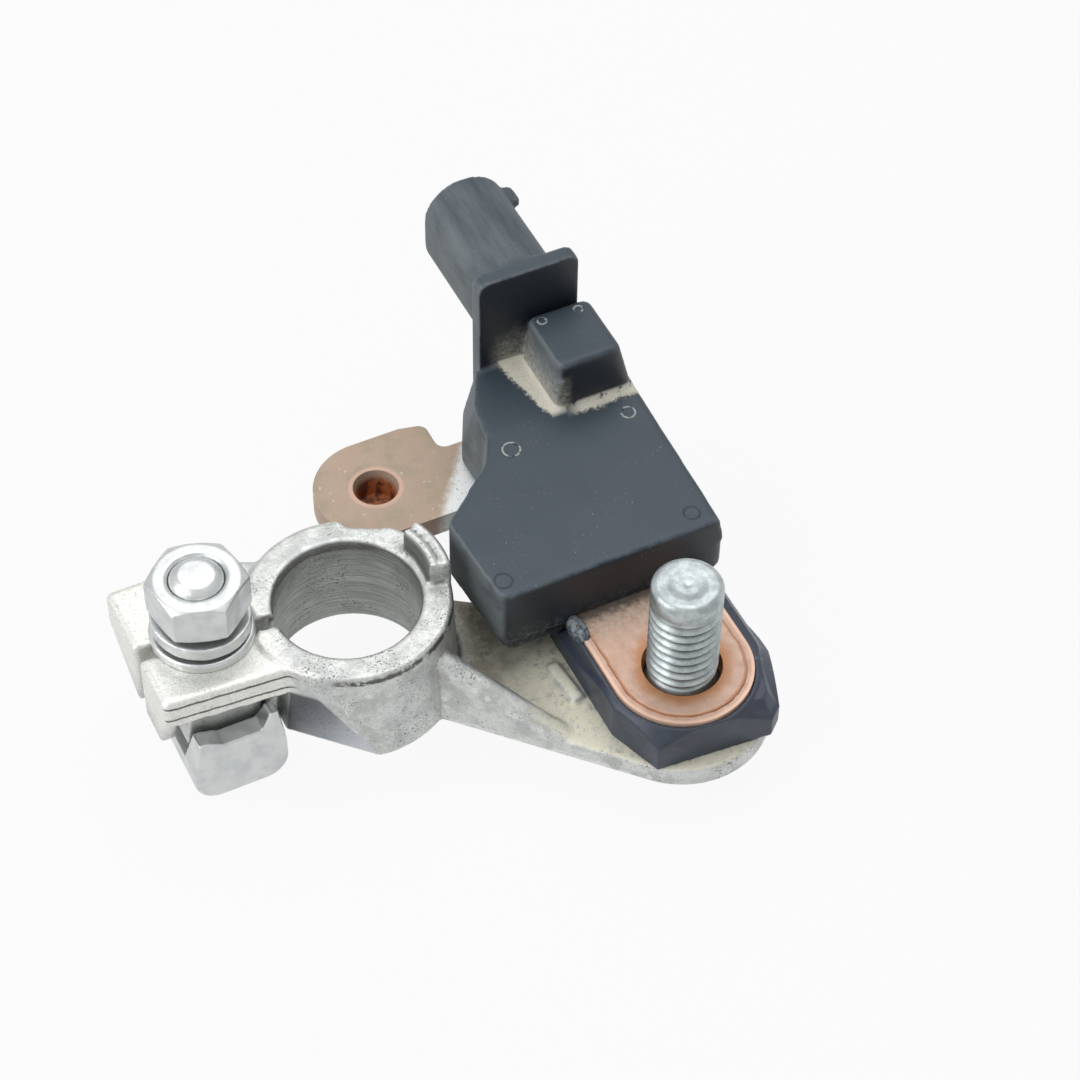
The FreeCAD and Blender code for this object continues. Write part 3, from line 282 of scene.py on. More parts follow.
def narrower_tip(mesh, axis, start, top, share):
    """Draws in the end of a bolt: the radius shrinks evenly to its share between start and top."""
    places = np.empty(len(mesh.vertices) * 3)
    mesh.vertices.foreach_get("co", places)
    places = places.reshape(-1, 3)
    reach = np.clip((places[:, 2:3] - start) / (top - start), 0.0, 1.0)
    centre = np.array(axis)
    places[:, :2] = centre + (places[:, :2] - centre) * (1.0 - (1.0 - share) * reach)
    mesh.vertices.foreach_set("co", places.ravel())
    mesh.update()
    return mesh


def tube_mesh(name, points):
    """Closed solid from rows of points: each row is a ring, and the first and last rows are capped."""
    rows, columns, _ = points.shape
    index = np.arange(rows * columns).reshape(rows, columns)
    following = np.roll(index, -1, axis=1)
    quads = np.stack([index[:-1], following[:-1], following[1:], index[1:]], axis=-1).reshape(-1, 4)
    faces = quads.tolist()
    faces.append(index[0, ::-1].tolist())
    faces.append(index[-1].tolist())
    mesh = bpy.data.meshes.new(name)
    mesh.from_pydata(points.reshape(-1, 3).tolist(), [], faces)
    mesh.update()
    mesh.shade_smooth()
    return mesh


# Finishes

class Finish:
    """A material's node tree, with short calls for what the finishes are made of."""

    def __init__(self, name):
        self.material = bpy.data.materials.new(name)
        self.material.use_nodes = True
        self.tree = self.material.node_tree
        self.surface = self.tree.nodes["Principled BSDF"]
        self.place = self.add("ShaderNodeTexCoord").outputs["Object"]
        parts = self.add("ShaderNodeSeparateXYZ")
        self.tree.links.new(self.place, parts.inputs[0])
        self.x, self.y, self.z = parts.outputs
        geometry = self.add("ShaderNodeNewGeometry")
        self.edge = geometry.outputs["Pointiness"]
        facing = self.add("ShaderNodeSeparateXYZ")
        self.tree.links.new(geometry.outputs["Normal"], facing.inputs[0])
        self.facing_x = facing.outputs[0]
        self.facing_y = facing.outputs[1]
        self.up = facing.outputs[2]

    def add(self, kind, **settings):
        """New node with its settings."""
        node = self.tree.nodes.new(kind)
        for key, value in settings.items():
            setattr(node, key, value)
        return node

    def feed(self, socket, value):
        """Links an output to a socket, or sets the socket's own value."""
        if isinstance(value, bpy.types.NodeSocket):
            self.tree.links.new(value, socket)
        elif isinstance(value, (int, float)):
            socket.default_value = value
        else:
            filled = tuple(value) + (1.0,) * (len(socket.default_value) - len(value))
            socket.default_value = filled

    def reckon(self, operation, *values):
        """Math node on one or two values."""
        node = self.add("ShaderNodeMath", operation=operation)
        for socket, value in zip(node.inputs, values):
            self.feed(socket, value)
        return node.outputs[0]

    def times(self, first, second):
        """Product of two values."""
        return self.reckon("MULTIPLY", first, second)

    def plus(self, first, second):
        """Sum of two values."""
        return self.reckon("ADD", first, second)

    def minus(self, first, second):
        """First value less the second."""
        return self.reckon("SUBTRACT", first, second)

    def most(self, first, second):
        """Larger of two values."""
        return self.reckon("MAXIMUM", first, second)

    def distance(self, value):
        """Value without its sign."""
        return self.reckon("ABSOLUTE", value)

    def step(self, value, low, high):
        """Smooth rise from 0 at low to 1 at high; it falls where low is above high."""
        node = self.add("ShaderNodeMapRange", interpolation_type="SMOOTHSTEP")
        self.feed(node.inputs["Value"], value)
        rising = low < high
        node.inputs["From Min"].default_value = low if rising else high
        node.inputs["From Max"].default_value = high if rising else low
        node.inputs["To Min"].default_value = 0.0 if rising else 1.0
        node.inputs["To Max"].default_value = 1.0 if rising else 0.0
        return node.outputs[0]

    def noise(self, size, detail=3.0, roughness=0.55, stretch=(1.0, 1.0, 1.0)):
        """Cloudy pattern whose features are about size metres wide."""
        mapping = self.add("ShaderNodeMapping")
        mapping.inputs["Scale"].default_value = stretch
        self.tree.links.new(self.place, mapping.inputs[0])
        node = self.add("ShaderNodeTexNoise")
        self.tree.links.new(mapping.outputs[0], node.inputs["Vector"])
        node.inputs["Scale"].default_value = 1.0 / size
        node.inputs["Detail"].default_value = detail
        node.inputs["Roughness"].default_value = roughness
        return node.outputs["Fac"]

    def blend(self, amount, first, second):
        """Mix of two colours."""
        node = self.add("ShaderNodeMix", data_type="RGBA")
        self.feed(node.inputs[0], amount)
        self.feed(node.inputs[6], first)
        self.feed(node.inputs[7], second)
        return node.outputs[2]

    def bump(self, height, depth, below=None):
        """Surface relief of a depth in metres, on top of an earlier relief."""
        node = self.add("ShaderNodeBump")
        node.inputs["Strength"].default_value = 1.0
        node.inputs["Distance"].default_value = depth
        self.feed(node.inputs["Height"], height)
        if below is not None:
            self.tree.links.new(below, node.inputs["Normal"])
        return node.outputs[0]

    def radius_from(self, x, y):
        """Distance from an upright axis through a point in the XY plane."""
        across = self.minus(self.x, x)
        along = self.minus(self.y, y)
        return self.reckon("SQRT", self.plus(self.times(across, across), self.times(along, along)))

    def finish(self, base, roughness, metallic, normal=None):
        """Sets the surface from its colour, roughness, metal share and relief."""
        self.feed(self.surface.inputs["Base Color"], base)
        self.feed(self.surface.inputs["Roughness"], roughness)
        self.feed(self.surface.inputs["Metallic"], metallic)
        if normal is not None:
            self.tree.links.new(normal, self.surface.inputs["Normal"])
        return self.material


def casting_finish(settings):
    """Tinned casting: mottled satin grey, with dark pits and seams, and painted shade in its hollows.

    Its bore is painted darker as shade, with marks of turning, and so is the flat beside the saddle; its
    edges are lighter as wear and painted highlight, its low arm is dusty and its ears are whiter than the
    rest.
    """
    f = Finish("tinned casting")
    from_post = f.radius_from(0.0, 0.0)
    mottling = f.noise(2.6 * MM, 5.0, 0.66)
    base = f.blend(f.step(mottling, 0.40, 0.62), settings.bright, settings.dull)
    tint = f.step(f.noise(5.0 * MM, 3.0, 0.6), 0.50, 0.70)
    base = f.blend(f.times(tint, 0.35), base, TIN_BLUISH)
    ears = f.times(f.step(f.x, -8.0 * MM, -11.0 * MM),
                   f.step(f.z, EAR_UNDERSIDE - 6.0 * MM, EAR_UNDERSIDE))
    base = f.blend(f.times(ears, 0.75), base, EAR_WHITE)
    sand = f.step(f.noise(0.22 * MM, 3.0, 0.6), 0.42, 0.66)
    base = f.blend(f.times(sand, 0.30), base, SAND_GREY)

    dusty = arm_dust(f, from_post)
    base = f.blend(f.times(dusty, 0.92), base, settings.dust)
    wander = f.times(f.minus(f.noise(2.5 * MM, 5.0, 0.7), 0.5), 9.0 * MM)
    stain = f.times(f.step(f.plus(from_post, wander), 20.0 * MM, 14.0 * MM), dusty)
    base = f.blend(f.times(stain, 0.75), base, ARM_STAIN)

    # Painted shade: the bore's wall is darkened, with turning marks in it.
    in_bore = bore_share(f, from_post)
    turning = f.noise(1.0 * MM, 3.0, 0.65, (0.10, 0.10, 3.5))
    base = f.blend(f.times(in_bore, 0.85), base, bore_shade_and_turning(f, settings, turning))
    # Painted shade on the flat beside the saddle, darkest towards the ear.
    deeper_shade = f.step(f.minus(f.x, f.times(f.z, 0.30)), -2.5 * MM, -11.0 * MM)
    base = f.blend(f.times(flank_shade(f), 0.9), base, f.blend(deeper_shade, FLANK_SHADE_PALE, FLANK_SHADE_DEEP))

    # Partly worn edges and partly painted highlight: convex edges and ridges are lightened.
    clean = f.blend(0.5, settings.bright, RIDGE_WEAR_AND_HIGHLIGHT)
    ridges = f.times(f.step(f.edge, 0.515, 0.57), f.minus(1.0, in_bore))
    ridges = f.times(ridges, f.step(f.noise(0.9 * MM, 3.0, 0.6), 0.30, 0.50))
    base = f.blend(f.times(ridges, 0.65), base, clean)
    # Painted shade: the hollows are darkened, with ragged strength.
    ragged = f.step(f.noise(0.8 * MM, 4.0, 0.7), 0.36, 0.56)
    hollows = f.times(f.step(f.edge, 0.491, 0.455), f.plus(f.times(ragged, 0.5), 0.5))
    clusters = f.step(f.noise(4.0 * MM, 3.0, 0.6), 0.42, 0.62)
    covered = f.most(f.times(dusty, 0.75), f.times(ears, 0.7))
    specks = f.step(f.noise(0.26 * MM, 3.0, 0.65), 0.57, 0.67)
    specks = f.times(specks, f.times(clusters, f.minus(1.0, covered)))
    scars = f.times(f.step(f.noise(1.5 * MM, 7.0, 0.78), 0.58, 0.66), clusters)
    seams = f.most(ring_seam(f, from_post), ear_seam_and_shade_lines(f))
    seams = f.most(seams, bore_rim(f, from_post))
    # The dark colour holds real pits, scars and seams, and painted shade in the hollows and under the ear's
    # top edge.
    dark = f.most(f.times(hollows, 0.85), f.times(specks, 0.8))
    dark = f.most(dark, f.times(scars, 0.55))
    dark = f.most(dark, f.times(seams, 0.9))
    base = f.blend(dark, base, settings.pits)

    rough = f.plus(f.times(mottling, 0.25), 0.30)
    rough = f.plus(rough, f.times(dusty, 0.35))
    relief = f.bump(f.noise(0.5 * MM, 4.0, 0.6), 0.05 * MM)
    relief = f.bump(f.times(f.most(specks, seams), -1.0), 0.06 * MM, relief)
    relief = f.bump(f.times(turning, in_bore), 0.12 * MM, relief)
    metal = f.minus(0.75, f.times(dusty, 0.6))
    return f.finish(base, rough, metal, relief)


def arm_dust(f, from_post):
    """Share of dust on the arm: on its low upward faces, away from the ring."""
    dusty = f.step(f.z, 6.5 * MM, 3.4 * MM)
    dusty = f.times(dusty, f.step(f.up, 0.55, 0.95))
    dusty = f.times(dusty, f.step(from_post, 11.0 * MM, 15.0 * MM))
    return f.times(dusty, f.step(f.noise(0.9 * MM, 4.0, 0.7), 0.22, 0.55))


def bore_share(f, from_post):
    """1 on the bore's wall, which faces the post's axis, and 0 elsewhere."""
    outward = f.plus(f.times(f.x, f.facing_x), f.times(f.y, f.facing_y))
    return f.times(f.step(outward, -0.5 * BORE_RADIUS, -0.8 * BORE_RADIUS),
                   f.step(from_post, BORE_RADIUS + 1.2 * MM, BORE_RADIUS + 0.7 * MM))


def bore_shade_and_turning(f, settings, turning):
    """Painted shade on the bore's wall: a grey with the marks of turning, darker towards the ring's top."""
    film = f.blend(f.step(turning, 0.35, 0.65), settings.bore, BORE_TURNED)
    level = f.plus(f.z, f.times(f.noise(3.0 * MM, 4.0, 0.7), 7.0 * MM))
    toward_top = f.step(level, RING_TOP - 1.5 * MM, RING_TOP + 2.5 * MM)
    return f.blend(f.times(toward_top, 0.6), film, BORE_TOP_DARK)


def flank_shade(f):
    """Painted shade: a smooth bluish patch on the flat that is cut into the ring's flank beside the saddle.
    """
    tilt = math.radians(RELIEF_TILT)
    across = -math.cos(math.radians(45.0)) * math.cos(tilt)
    depth = f.times(f.plus(f.x, f.y), across)
    depth = f.minus(depth, f.times(f.z, math.sin(tilt)))
    patch = f.step(f.distance(f.minus(depth, RELIEF_DISTANCE)), 0.30 * MM, 0.12 * MM)
    patch = f.times(patch, f.step(f.facing_y, -0.3, -0.6))
    slant = f.plus(f.z, f.times(f.plus(f.x, 1.54 * MM), 1.65))
    patch = f.times(patch, f.step(slant, 0.30 * MM, -0.30 * MM))
    return f.times(patch, f.step(f.z, EAR_UNDERSIDE + 0.4 * MM, EAR_UNDERSIDE - 0.6 * MM))


def ring_seam(f, from_post):
    """Dark torn seam just under the ring's outer top edge, on the side away from the ears."""
    level = f.plus(f.z, f.times(f.noise(0.9 * MM, 4.0, 0.7), 0.6 * MM))
    seam = f.times(f.step(level, RING_TOP - 0.80 * MM, RING_TOP - 0.50 * MM),
                   f.step(level, RING_TOP + 0.10 * MM, RING_TOP - 0.20 * MM))
    seam = f.times(seam, f.step(from_post, BORE_RADIUS + 1.9 * MM, BORE_RADIUS + 2.2 * MM))
    seam = f.times(seam, f.step(f.minus(f.x, f.y), 3.0 * MM, 5.0 * MM))
    return f.times(seam, f.step(f.noise(1.7 * MM, 4.0, 0.7), 0.36, 0.50))


def bore_rim(f, from_post):
    """Dark ragged line along the bore's top edge, on the side towards the tab."""
    wander = f.times(f.minus(f.noise(0.7 * MM, 5.0, 0.72), 0.5), 1.3 * MM)
    height = f.distance(f.minus(f.plus(f.z, wander), RING_TOP - 0.9 * MM))
    rim = f.times(f.step(height, 0.40 * MM, 0.15 * MM), f.step(from_post, 9.0 * MM, 8.6 * MM))
    rim = f.times(rim, f.step(f.minus(f.y, f.times(f.x, 0.5)), 1.0 * MM, 4.5 * MM))
    return f.times(rim, 0.8)


def ear_seam_and_shade_lines(f):
    """Two dark lines along the front of the clamp's ear: the upper is painted shade under the top's slight
    overhang, the lower a seam left by the mould's parts.
    """
    wander = f.times(f.noise(1.6 * MM, 4.0, 0.65), 0.5 * MM)
    height = f.plus(f.z, wander)
    upper, lower = (f.step(f.distance(f.minus(height, level)), 0.20 * MM, 0.06 * MM)
                    for level in EAR_LINE_LEVELS)
    lines = f.most(upper, lower)
    lines = f.times(lines, f.step(f.x, -8.6 * MM, -9.6 * MM))
    lines = f.times(lines, f.step(f.y, -3.0 * MM, -3.6 * MM))
    return f.times(lines, f.step(f.facing_y, -0.35, -0.75))


def zinc_finish(settings):
    """Bright zinc plating: clean, with painted shade in the hollows, and brighter along the edges."""
    f = Finish("bright zinc")
    cloud = f.noise(2.2 * MM, 4.0, 0.6)
    base = f.blend(f.step(cloud, 0.35, 0.70), settings.zinc, settings.zinc_dull)
    # Painted shade: the hollows are darkened.
    hollows = f.step(f.edge, 0.49, 0.42)
    base = f.blend(f.times(hollows, 0.7), base, ZINC_HOLLOW_SHADE)
    base = f.blend(f.times(f.step(f.edge, 0.515, 0.58), 0.5), base, ZINC_EDGE)
    rough = f.plus(f.times(cloud, 0.20), 0.24)
    relief = f.bump(f.noise(0.35 * MM, 3.0, 0.6), 0.018 * MM)
    return f.finish(base, rough, 0.88, relief)


def stud_finish(settings):
    """Powdery zinc on the ground stud, with painted shade in the valleys of its thread."""
    f = Finish("stud zinc")
    cloud = f.noise(1.4 * MM, 5.0, 0.65)
    base = f.blend(f.step(cloud, 0.35, 0.65), settings.stud_pale, settings.stud)
    grit = f.step(f.noise(0.28 * MM, 2.0, 0.5), 0.60, 0.72)
    base = f.blend(f.times(grit, 0.35), base, STUD_GRIT)
    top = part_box("ground_stud")[1][2]
    from_axis = f.radius_from(*upright_axis("ground_stud"))
    # Painted shade: the valleys of the thread are darkened.
    valleys = f.times(f.step(from_axis, STUD_CREST - 0.18 * MM, STUD_CREST - 0.60 * MM),
                      f.step(f.z, top - 1.2 * MM, top - 1.8 * MM))
    base = f.blend(f.times(valleys, 0.9), base, STUD_VALLEY_SHADE)
    rough = f.plus(f.times(cloud, 0.25), 0.26)
    relief = f.bump(f.noise(0.3 * MM, 3.0, 0.6), 0.02 * MM)
    return f.finish(base, rough, 0.8, relief)


def stud_plate_finish(settings):
    """Dull copper: burnt orange at the hole, a scored line inside a bright rim, and dust and a painted
    shadow with some dirt by the housing.
    """
    f = Finish("dull copper")
    low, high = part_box("shunt_stud_plate")
    axis = upright_axis("ground_stud")
    centre_x = (low[0] + high[0]) / 2
    half = (high[0] - low[0]) / 2
    from_stud = f.radius_from(*axis)
    wander = f.times(f.noise(2.5 * MM, 3.0, 0.6), 1.6 * MM)
    ring = f.step(f.plus(from_stud, wander), 7.1 * MM, 5.3 * MM)
    mottle = f.noise(1.2 * MM, 5.0, 0.65)
    base = f.blend(f.step(mottle, 0.30, 0.75), settings.copper, COPPER_MOTTLE)
    base = f.blend(f.times(ring, 0.85), base, settings.burnt)
    end = f.radius_from(centre_x, axis[1])
    side = f.distance(f.minus(f.x, centre_x))
    behind = f.step(f.y, axis[1] - 0.2 * MM, axis[1] + 0.2 * MM)
    reach = f.plus(f.times(side, behind), f.times(end, f.minus(1.0, behind)))
    rim = f.step(reach, half - 0.50 * MM, half - 0.25 * MM)
    base = f.blend(f.times(rim, 0.9), base, settings.bright)
    waver = f.times(f.minus(f.noise(1.5 * MM, 3.0, 0.6), 0.5), 0.5 * MM)
    scored = f.distance(f.minus(f.plus(reach, waver), half - 1.0 * MM))
    scored = f.step(scored, 0.22 * MM, 0.05 * MM)
    base = f.blend(f.times(scored, 0.75), base, COPPER_SCORED)
    dust = f.step(f.y, -15.5 * MM, -9.6 * MM)
    dust = f.times(dust, f.step(f.noise(0.55 * MM, 4.0, 0.7), 0.40, 0.62))
    base = f.blend(f.times(dust, 0.9), base, settings.dust)
    # Painted shadow, with some dirt: the copper darkens just in front of the housing's front edge.
    shadow_and_grime = f.plus(f.y, f.times(f.noise(0.8 * MM, 4.0, 0.7), 2.5 * MM))
    base = f.blend(f.times(f.step(shadow_and_grime, -10.2 * MM, -8.6 * MM), 0.85), base, COPPER_SHADOW_AND_GRIME)
    rough = f.plus(f.times(mottle, 0.25), 0.32)
    rough = f.plus(rough, f.times(dust, 0.3))
    relief = f.bump(f.noise(0.4 * MM, 4.0, 0.6, (1.0, 0.25, 1.0)), 0.03 * MM)
    relief = f.bump(f.times(scored, -1.0), 0.05 * MM, relief)
    return f.finish(base, rough, 0.30, relief)


def tab_finish(settings):
    """Matt pinkish copper with olive stains, a pressed dimple whose inside is painted orange and dark as
    shade, and a tinned band.
    """
    f = Finish("matt copper")
    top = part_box("shunt_tab_plate")[1][2]
    from_dimple = f.radius_from(*DIMPLE_AXIS)
    mottle = f.noise(3.0 * MM, 4.0, 0.6)
    base = f.blend(f.step(mottle, 0.42, 0.70), settings.tab, settings.tab_olive)
    flecks = f.step(f.noise(0.6 * MM, 2.0, 0.5), 0.66, 0.74)
    base = f.blend(f.times(flecks, 0.5), base, TAB_FLECK)
    depth = f.step(f.z, top - 0.35 * MM, top - 1.6 * MM)
    hole = f.times(f.step(from_dimple, 2.95 * MM, 2.75 * MM), depth)
    # Painted shade: the inside of the dimple is orange copper with dark patches that stand for its shade.
    burnt = f.blend(f.step(f.noise(1.1 * MM, 3.0, 0.6), 0.40, 0.62), DIMPLE_ORANGE, DIMPLE_SHADE)
    base = f.blend(hole, base, burnt)
    lip = f.times(f.step(from_dimple, 2.60 * MM, 2.80 * MM), f.step(from_dimple, 3.35 * MM, 2.95 * MM))
    base = f.blend(f.times(lip, 0.55), base, DIMPLE_LIP)
    across = f.plus(f.times(f.x, 0.8), f.times(f.y, -0.6))
    wander = f.times(f.noise(1.2 * MM, 6.0, 0.75), 2.0 * MM)
    band = f.step(f.plus(across, wander), 6.9 * MM, 8.3 * MM)
    specks = f.step(f.noise(0.45 * MM, 3.0, 0.6), 0.62, 0.70)
    tin = f.blend(f.times(specks, 0.8), settings.tin, TIN_SPECK)
    base = f.blend(band, base, tin)
    rough = f.plus(f.times(mottle, 0.2), 0.48)
    relief = f.bump(f.noise(0.5 * MM, 4.0, 0.6), 0.02 * MM)
    return f.finish(base, rough, 0.25, relief)


def housing_finish(settings):
    """Fine-grained dark plastic with scuffed edges, pale flecks, painted shade on its sides, painted light
    on its left faces and plug end, dust and round marks.
    """
    f = Finish("housing plastic")
    grain = f.noise(0.16 * MM, 2.0, 0.5)
    cloud = f.noise(6.0 * MM, 4.0, 0.6)
    base = f.blend(f.times(cloud, 0.5), settings.top, PLASTIC_CLOUD)
    # Painted shade: faces that do not face upwards are darker.
    base = f.blend(f.step(f.up, 0.65, 0.15), base, PLASTIC_SIDE_SHADE)
    # Painted light: left-facing faces and the plug's end are painted paler, as if lit from the left; the low
    # sides are paler in patches too.
    side = f.step(f.facing_x, -0.45, -0.90)
    side = f.times(side, f.step(f.noise(3.0 * MM, 5.0, 0.65, (1.0, 0.4, 1.0)), 0.05, 0.70))
    streaks = f.step(f.noise(1.6 * MM, 4.0, 0.6, (1.0, 0.15, 1.0)), 0.25, 0.70)
    streaks = f.times(streaks, f.step(f.y, 22.0 * MM, 25.0 * MM))
    side = f.most(side, f.times(streaks, 0.55))
    low_side = f.times(f.step(f.z, 11.0 * MM, 8.2 * MM), f.step(f.noise(0.7 * MM, 5.0, 0.75), 0.45, 0.65))
    side = f.most(f.times(side, 0.75), f.times(low_side, 0.55))
    base = f.blend(side, base, settings.film)
    worn = f.step(f.edge, 0.512, 0.57)
    worn = f.times(worn, f.step(f.noise(1.6 * MM, 4.0, 0.65), 0.32, 0.58))
    base = f.blend(f.times(worn, 0.75), base, settings.scuffed)
    flecks = f.times(f.step(f.noise(0.30 * MM, 3.0, 0.6), 0.66, 0.72),
                     f.step(f.noise(5.0 * MM, 3.0, 0.6), 0.50, 0.62))
    base = f.blend(f.times(flecks, 0.6), base, PLASTIC_FLECK)
    dust = housing_dust(f)
    base = f.blend(f.times(dust, 0.95), base, settings.dust)
    sunk = moulded_rings(f, ((15.4, -7.1, 1.0), (38.3, -7.2, 0.9)), 0.16)
    pale = moulded_rings(f, ((24.1, 9.2, 1.0), (38.5, 8.7, 0.8), (32.9, 19.6, 0.5), (37.5, 19.6, 0.5)), 0.20)
    base = f.blend(f.times(sunk, 0.5), base, RING_SUNK)
    chalk = f.times(pale, f.step(f.noise(0.9 * MM, 3.0, 0.6), 0.38, 0.52))
    base = f.blend(f.times(chalk, 0.75), base, RING_CHALK)

    rough = f.plus(f.times(cloud, 0.15), 0.38)
    rough = f.plus(rough, f.times(f.most(dust, side), 0.35))
    relief = f.bump(grain, 0.012 * MM)
    relief = f.bump(f.times(f.most(sunk, pale), -1.0), 0.08 * MM, relief)
    relief = f.bump(f.times(dust, f.noise(0.35 * MM, 4.0, 0.7)), 0.25 * MM, relief)
    return f.finish(base, rough, 0.0, relief)


def housing_dust(f):
    """Dust on the housing's top beside and before the pin block, thinning up the faces above it."""
    ragged = f.times(f.minus(f.noise(0.9 * MM, 5.0, 0.72), 0.5), 2.2 * MM)
    from_left = f.plus(f.minus(BLOCK_LEFT, f.x), ragged)
    spread = f.times(f.minus(f.y, BLOCK_FRONT), 0.20)
    from_left = f.minus(from_left, spread)
    wedge = f.step(from_left, 1.3 * MM, 0.7 * MM)
    wedge = f.times(wedge, f.step(f.y, BLOCK_FRONT - 0.8 * MM, BLOCK_FRONT + 0.2 * MM))
    wedge = f.times(wedge, f.step(f.x, BLOCK_LEFT + 1.3 * MM, BLOCK_LEFT + 0.9 * MM))
    from_front = f.plus(f.minus(BLOCK_FRONT, f.y), ragged)
    strip = f.step(from_front, 1.5 * MM, 0.9 * MM)
    strip = f.times(strip, f.step(f.x, BLOCK_LEFT + 0.6 * MM, BLOCK_LEFT + 3.4 * MM))
    strip = f.times(strip, f.step(f.y, BLOCK_FRONT + 1.2 * MM, BLOCK_FRONT + 0.9 * MM))
    strip = f.times(strip, f.step(f.noise(1.1 * MM, 4.0, 0.65), 0.34, 0.44))
    lying = f.most(wedge, strip)
    lying = f.times(lying, f.step(f.z, HOUSING_TOP + 0.9 * MM, HOUSING_TOP + 0.3 * MM))
    lying = f.times(lying, f.step(f.z, HOUSING_TOP - 1.0 * MM, HOUSING_TOP - 0.6 * MM))
    climb = f.plus(f.z, f.times(f.noise(2.5 * MM, 4.0, 0.65), 7.0 * MM))
    film = f.times(f.step(climb, HOUSING_TOP + 9.5 * MM, HOUSING_TOP + 3.0 * MM),
                   f.step(f.z, HOUSING_TOP, HOUSING_TOP + 0.3 * MM))
    film = f.times(film, f.step(f.x, BLOCK_LEFT + 2.2 * MM, BLOCK_LEFT + 1.0 * MM))
    film = f.times(film, f.step(f.x, BLOCK_LEFT - 4.5 * MM, BLOCK_LEFT - 1.5 * MM))
    film = f.times(film, f.step(f.noise(0.5 * MM, 4.0, 0.7), 0.20, 0.70))
    return f.most(lying, f.times(film, 0.60))


def moulded_rings(f, places, width):
    """Thin round marks on upward faces: each place is X, Y and radius, and all are in millimetres."""
    marks = None
    for x, y, radius in places:
        away = f.distance(f.minus(f.radius_from(x * MM, y * MM), radius * MM))
        mark = f.step(away, width * MM, 0.03 * MM)
        marks = mark if marks is None else f.most(marks, mark)
    return f.times(marks, f.step(f.up, 0.6, 0.9))


def insulator_finish(settings):
    """Smooth dark plastic with scuffed edges and faint scratches."""
    f = Finish("insulator plastic")
    cloud = f.noise(4.0 * MM, 4.0, 0.6)
    base = f.blend(f.step(cloud, 0.35, 0.70), settings.insulator, INSULATOR_CLOUD)
    worn = f.times(f.step(f.edge, 0.515, 0.62), f.step(f.noise(1.2 * MM, 4.0, 0.65), 0.35, 0.60))
    base = f.blend(f.times(worn, 0.7), base, settings.scuffed)
    scratches = f.step(f.noise(0.8 * MM, 5.0, 0.7, (0.35, 1.0, 1.0)), 0.60, 0.74)
    base = f.blend(f.times(scratches, 0.35), base, settings.scuffed)
    rough = f.plus(f.times(cloud, 0.2), 0.30)
    relief = f.bump(f.noise(0.25 * MM, 3.0, 0.6), 0.008 * MM)
    return f.finish(base, rough, 0.0, relief)


def flash_finish(settings):
    """Rough plastic flash with chalky patches."""
    f = Finish("rough flash")
    chalk = f.step(f.noise(0.8 * MM, 5.0, 0.7), 0.40, 0.66)
    base = f.blend(f.times(chalk, 0.8), settings.top, FLASH_CHALK)
    relief = f.bump(f.noise(0.5 * MM, 4.0, 0.65), 0.10 * MM)
    return f.finish(base, 0.6, 0.0, relief)


def plain_finish(name, first, second, size, roughness, metallic):
    """Two-tone finish for the pieces inside the sensor."""
    f = Finish(name)
    pattern = f.noise(size, 3.0, 0.6)
    base = f.blend(f.step(pattern, 0.35, 0.65), first, second)
    relief = f.bump(f.noise(size * 0.3, 3.0, 0.6), size * 0.02)
    return f.finish(base, roughness, metallic, relief)


# Pieces

class TERMINAL_OT_casting(bpy.types.Operator):
    """Makes the clamp ring, ears and arm as one casting with rounded edges"""
    bl_idname = "terminal.casting"
    bl_label = "Casting"

    def execute(self, context):
        settings = context.scene.terminal_casting
        mesh = softened_copy("pole_clamp", settings.voxel, settings.softening)
        piece = add_piece("casting", mesh, "terminal", casting_finish(settings))
        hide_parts("pole_clamp")
        return {"FINISHED"}


class TERMINAL_OT_clamp_bolt(bpy.types.Operator):
    """Makes the clamp bolt with its saddle, and its nut and washers, in bright zinc"""
    bl_idname = "terminal.clamp_bolt"
    bl_label = "Clamp bolt"

    def execute(self, context):
        zinc = zinc_finish(context.scene.terminal_fasteners)
        mesh = softened_copy("clamp_bolt", SADDLE_GRID, rounds=6)
        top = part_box("clamp_bolt")[1][2]
        mesh = narrower_tip(mesh, upright_axis("clamp_nut"), top - 0.9 * MM, top - 0.1 * MM,
                             share=0.83)
        saddle = add_piece("saddle_bolt", mesh, "bolt", zinc)
        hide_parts("clamp_bolt")
        mesh = softened_copy("clamp_nut", NUT_GRID, rounds=5)
        nut = add_piece("hexagon_nut", mesh, "nut", zinc)
        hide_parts("clamp_nut")
        for node in ("flat_washer", "spring_washer"):
            mesh = softened_copy(node, NUT_GRID, rounds=4)
            washer = add_piece(node + "_soft", mesh, "terminal", zinc)
            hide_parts(node)
        return {"FINISHED"}


class TERMINAL_OT_ground_stud(bpy.types.Operator):
    """Makes the threaded ground stud with its plain shoulder, dished tip and hidden foot"""
    bl_idname = "terminal.ground_stud"
    bl_label = "Ground stud"

    def execute(self, context):
        settings = context.scene.terminal_fasteners
        low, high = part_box("ground_stud")
        points = stud_surface(settings, upright_axis("ground_stud"), low[2], high[2])
        mesh = tube_mesh("threaded stud", points)
        piece = add_piece("threaded_stud", mesh, "terminal", stud_finish(settings))
        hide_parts("ground_stud")
        return {"FINISHED"}


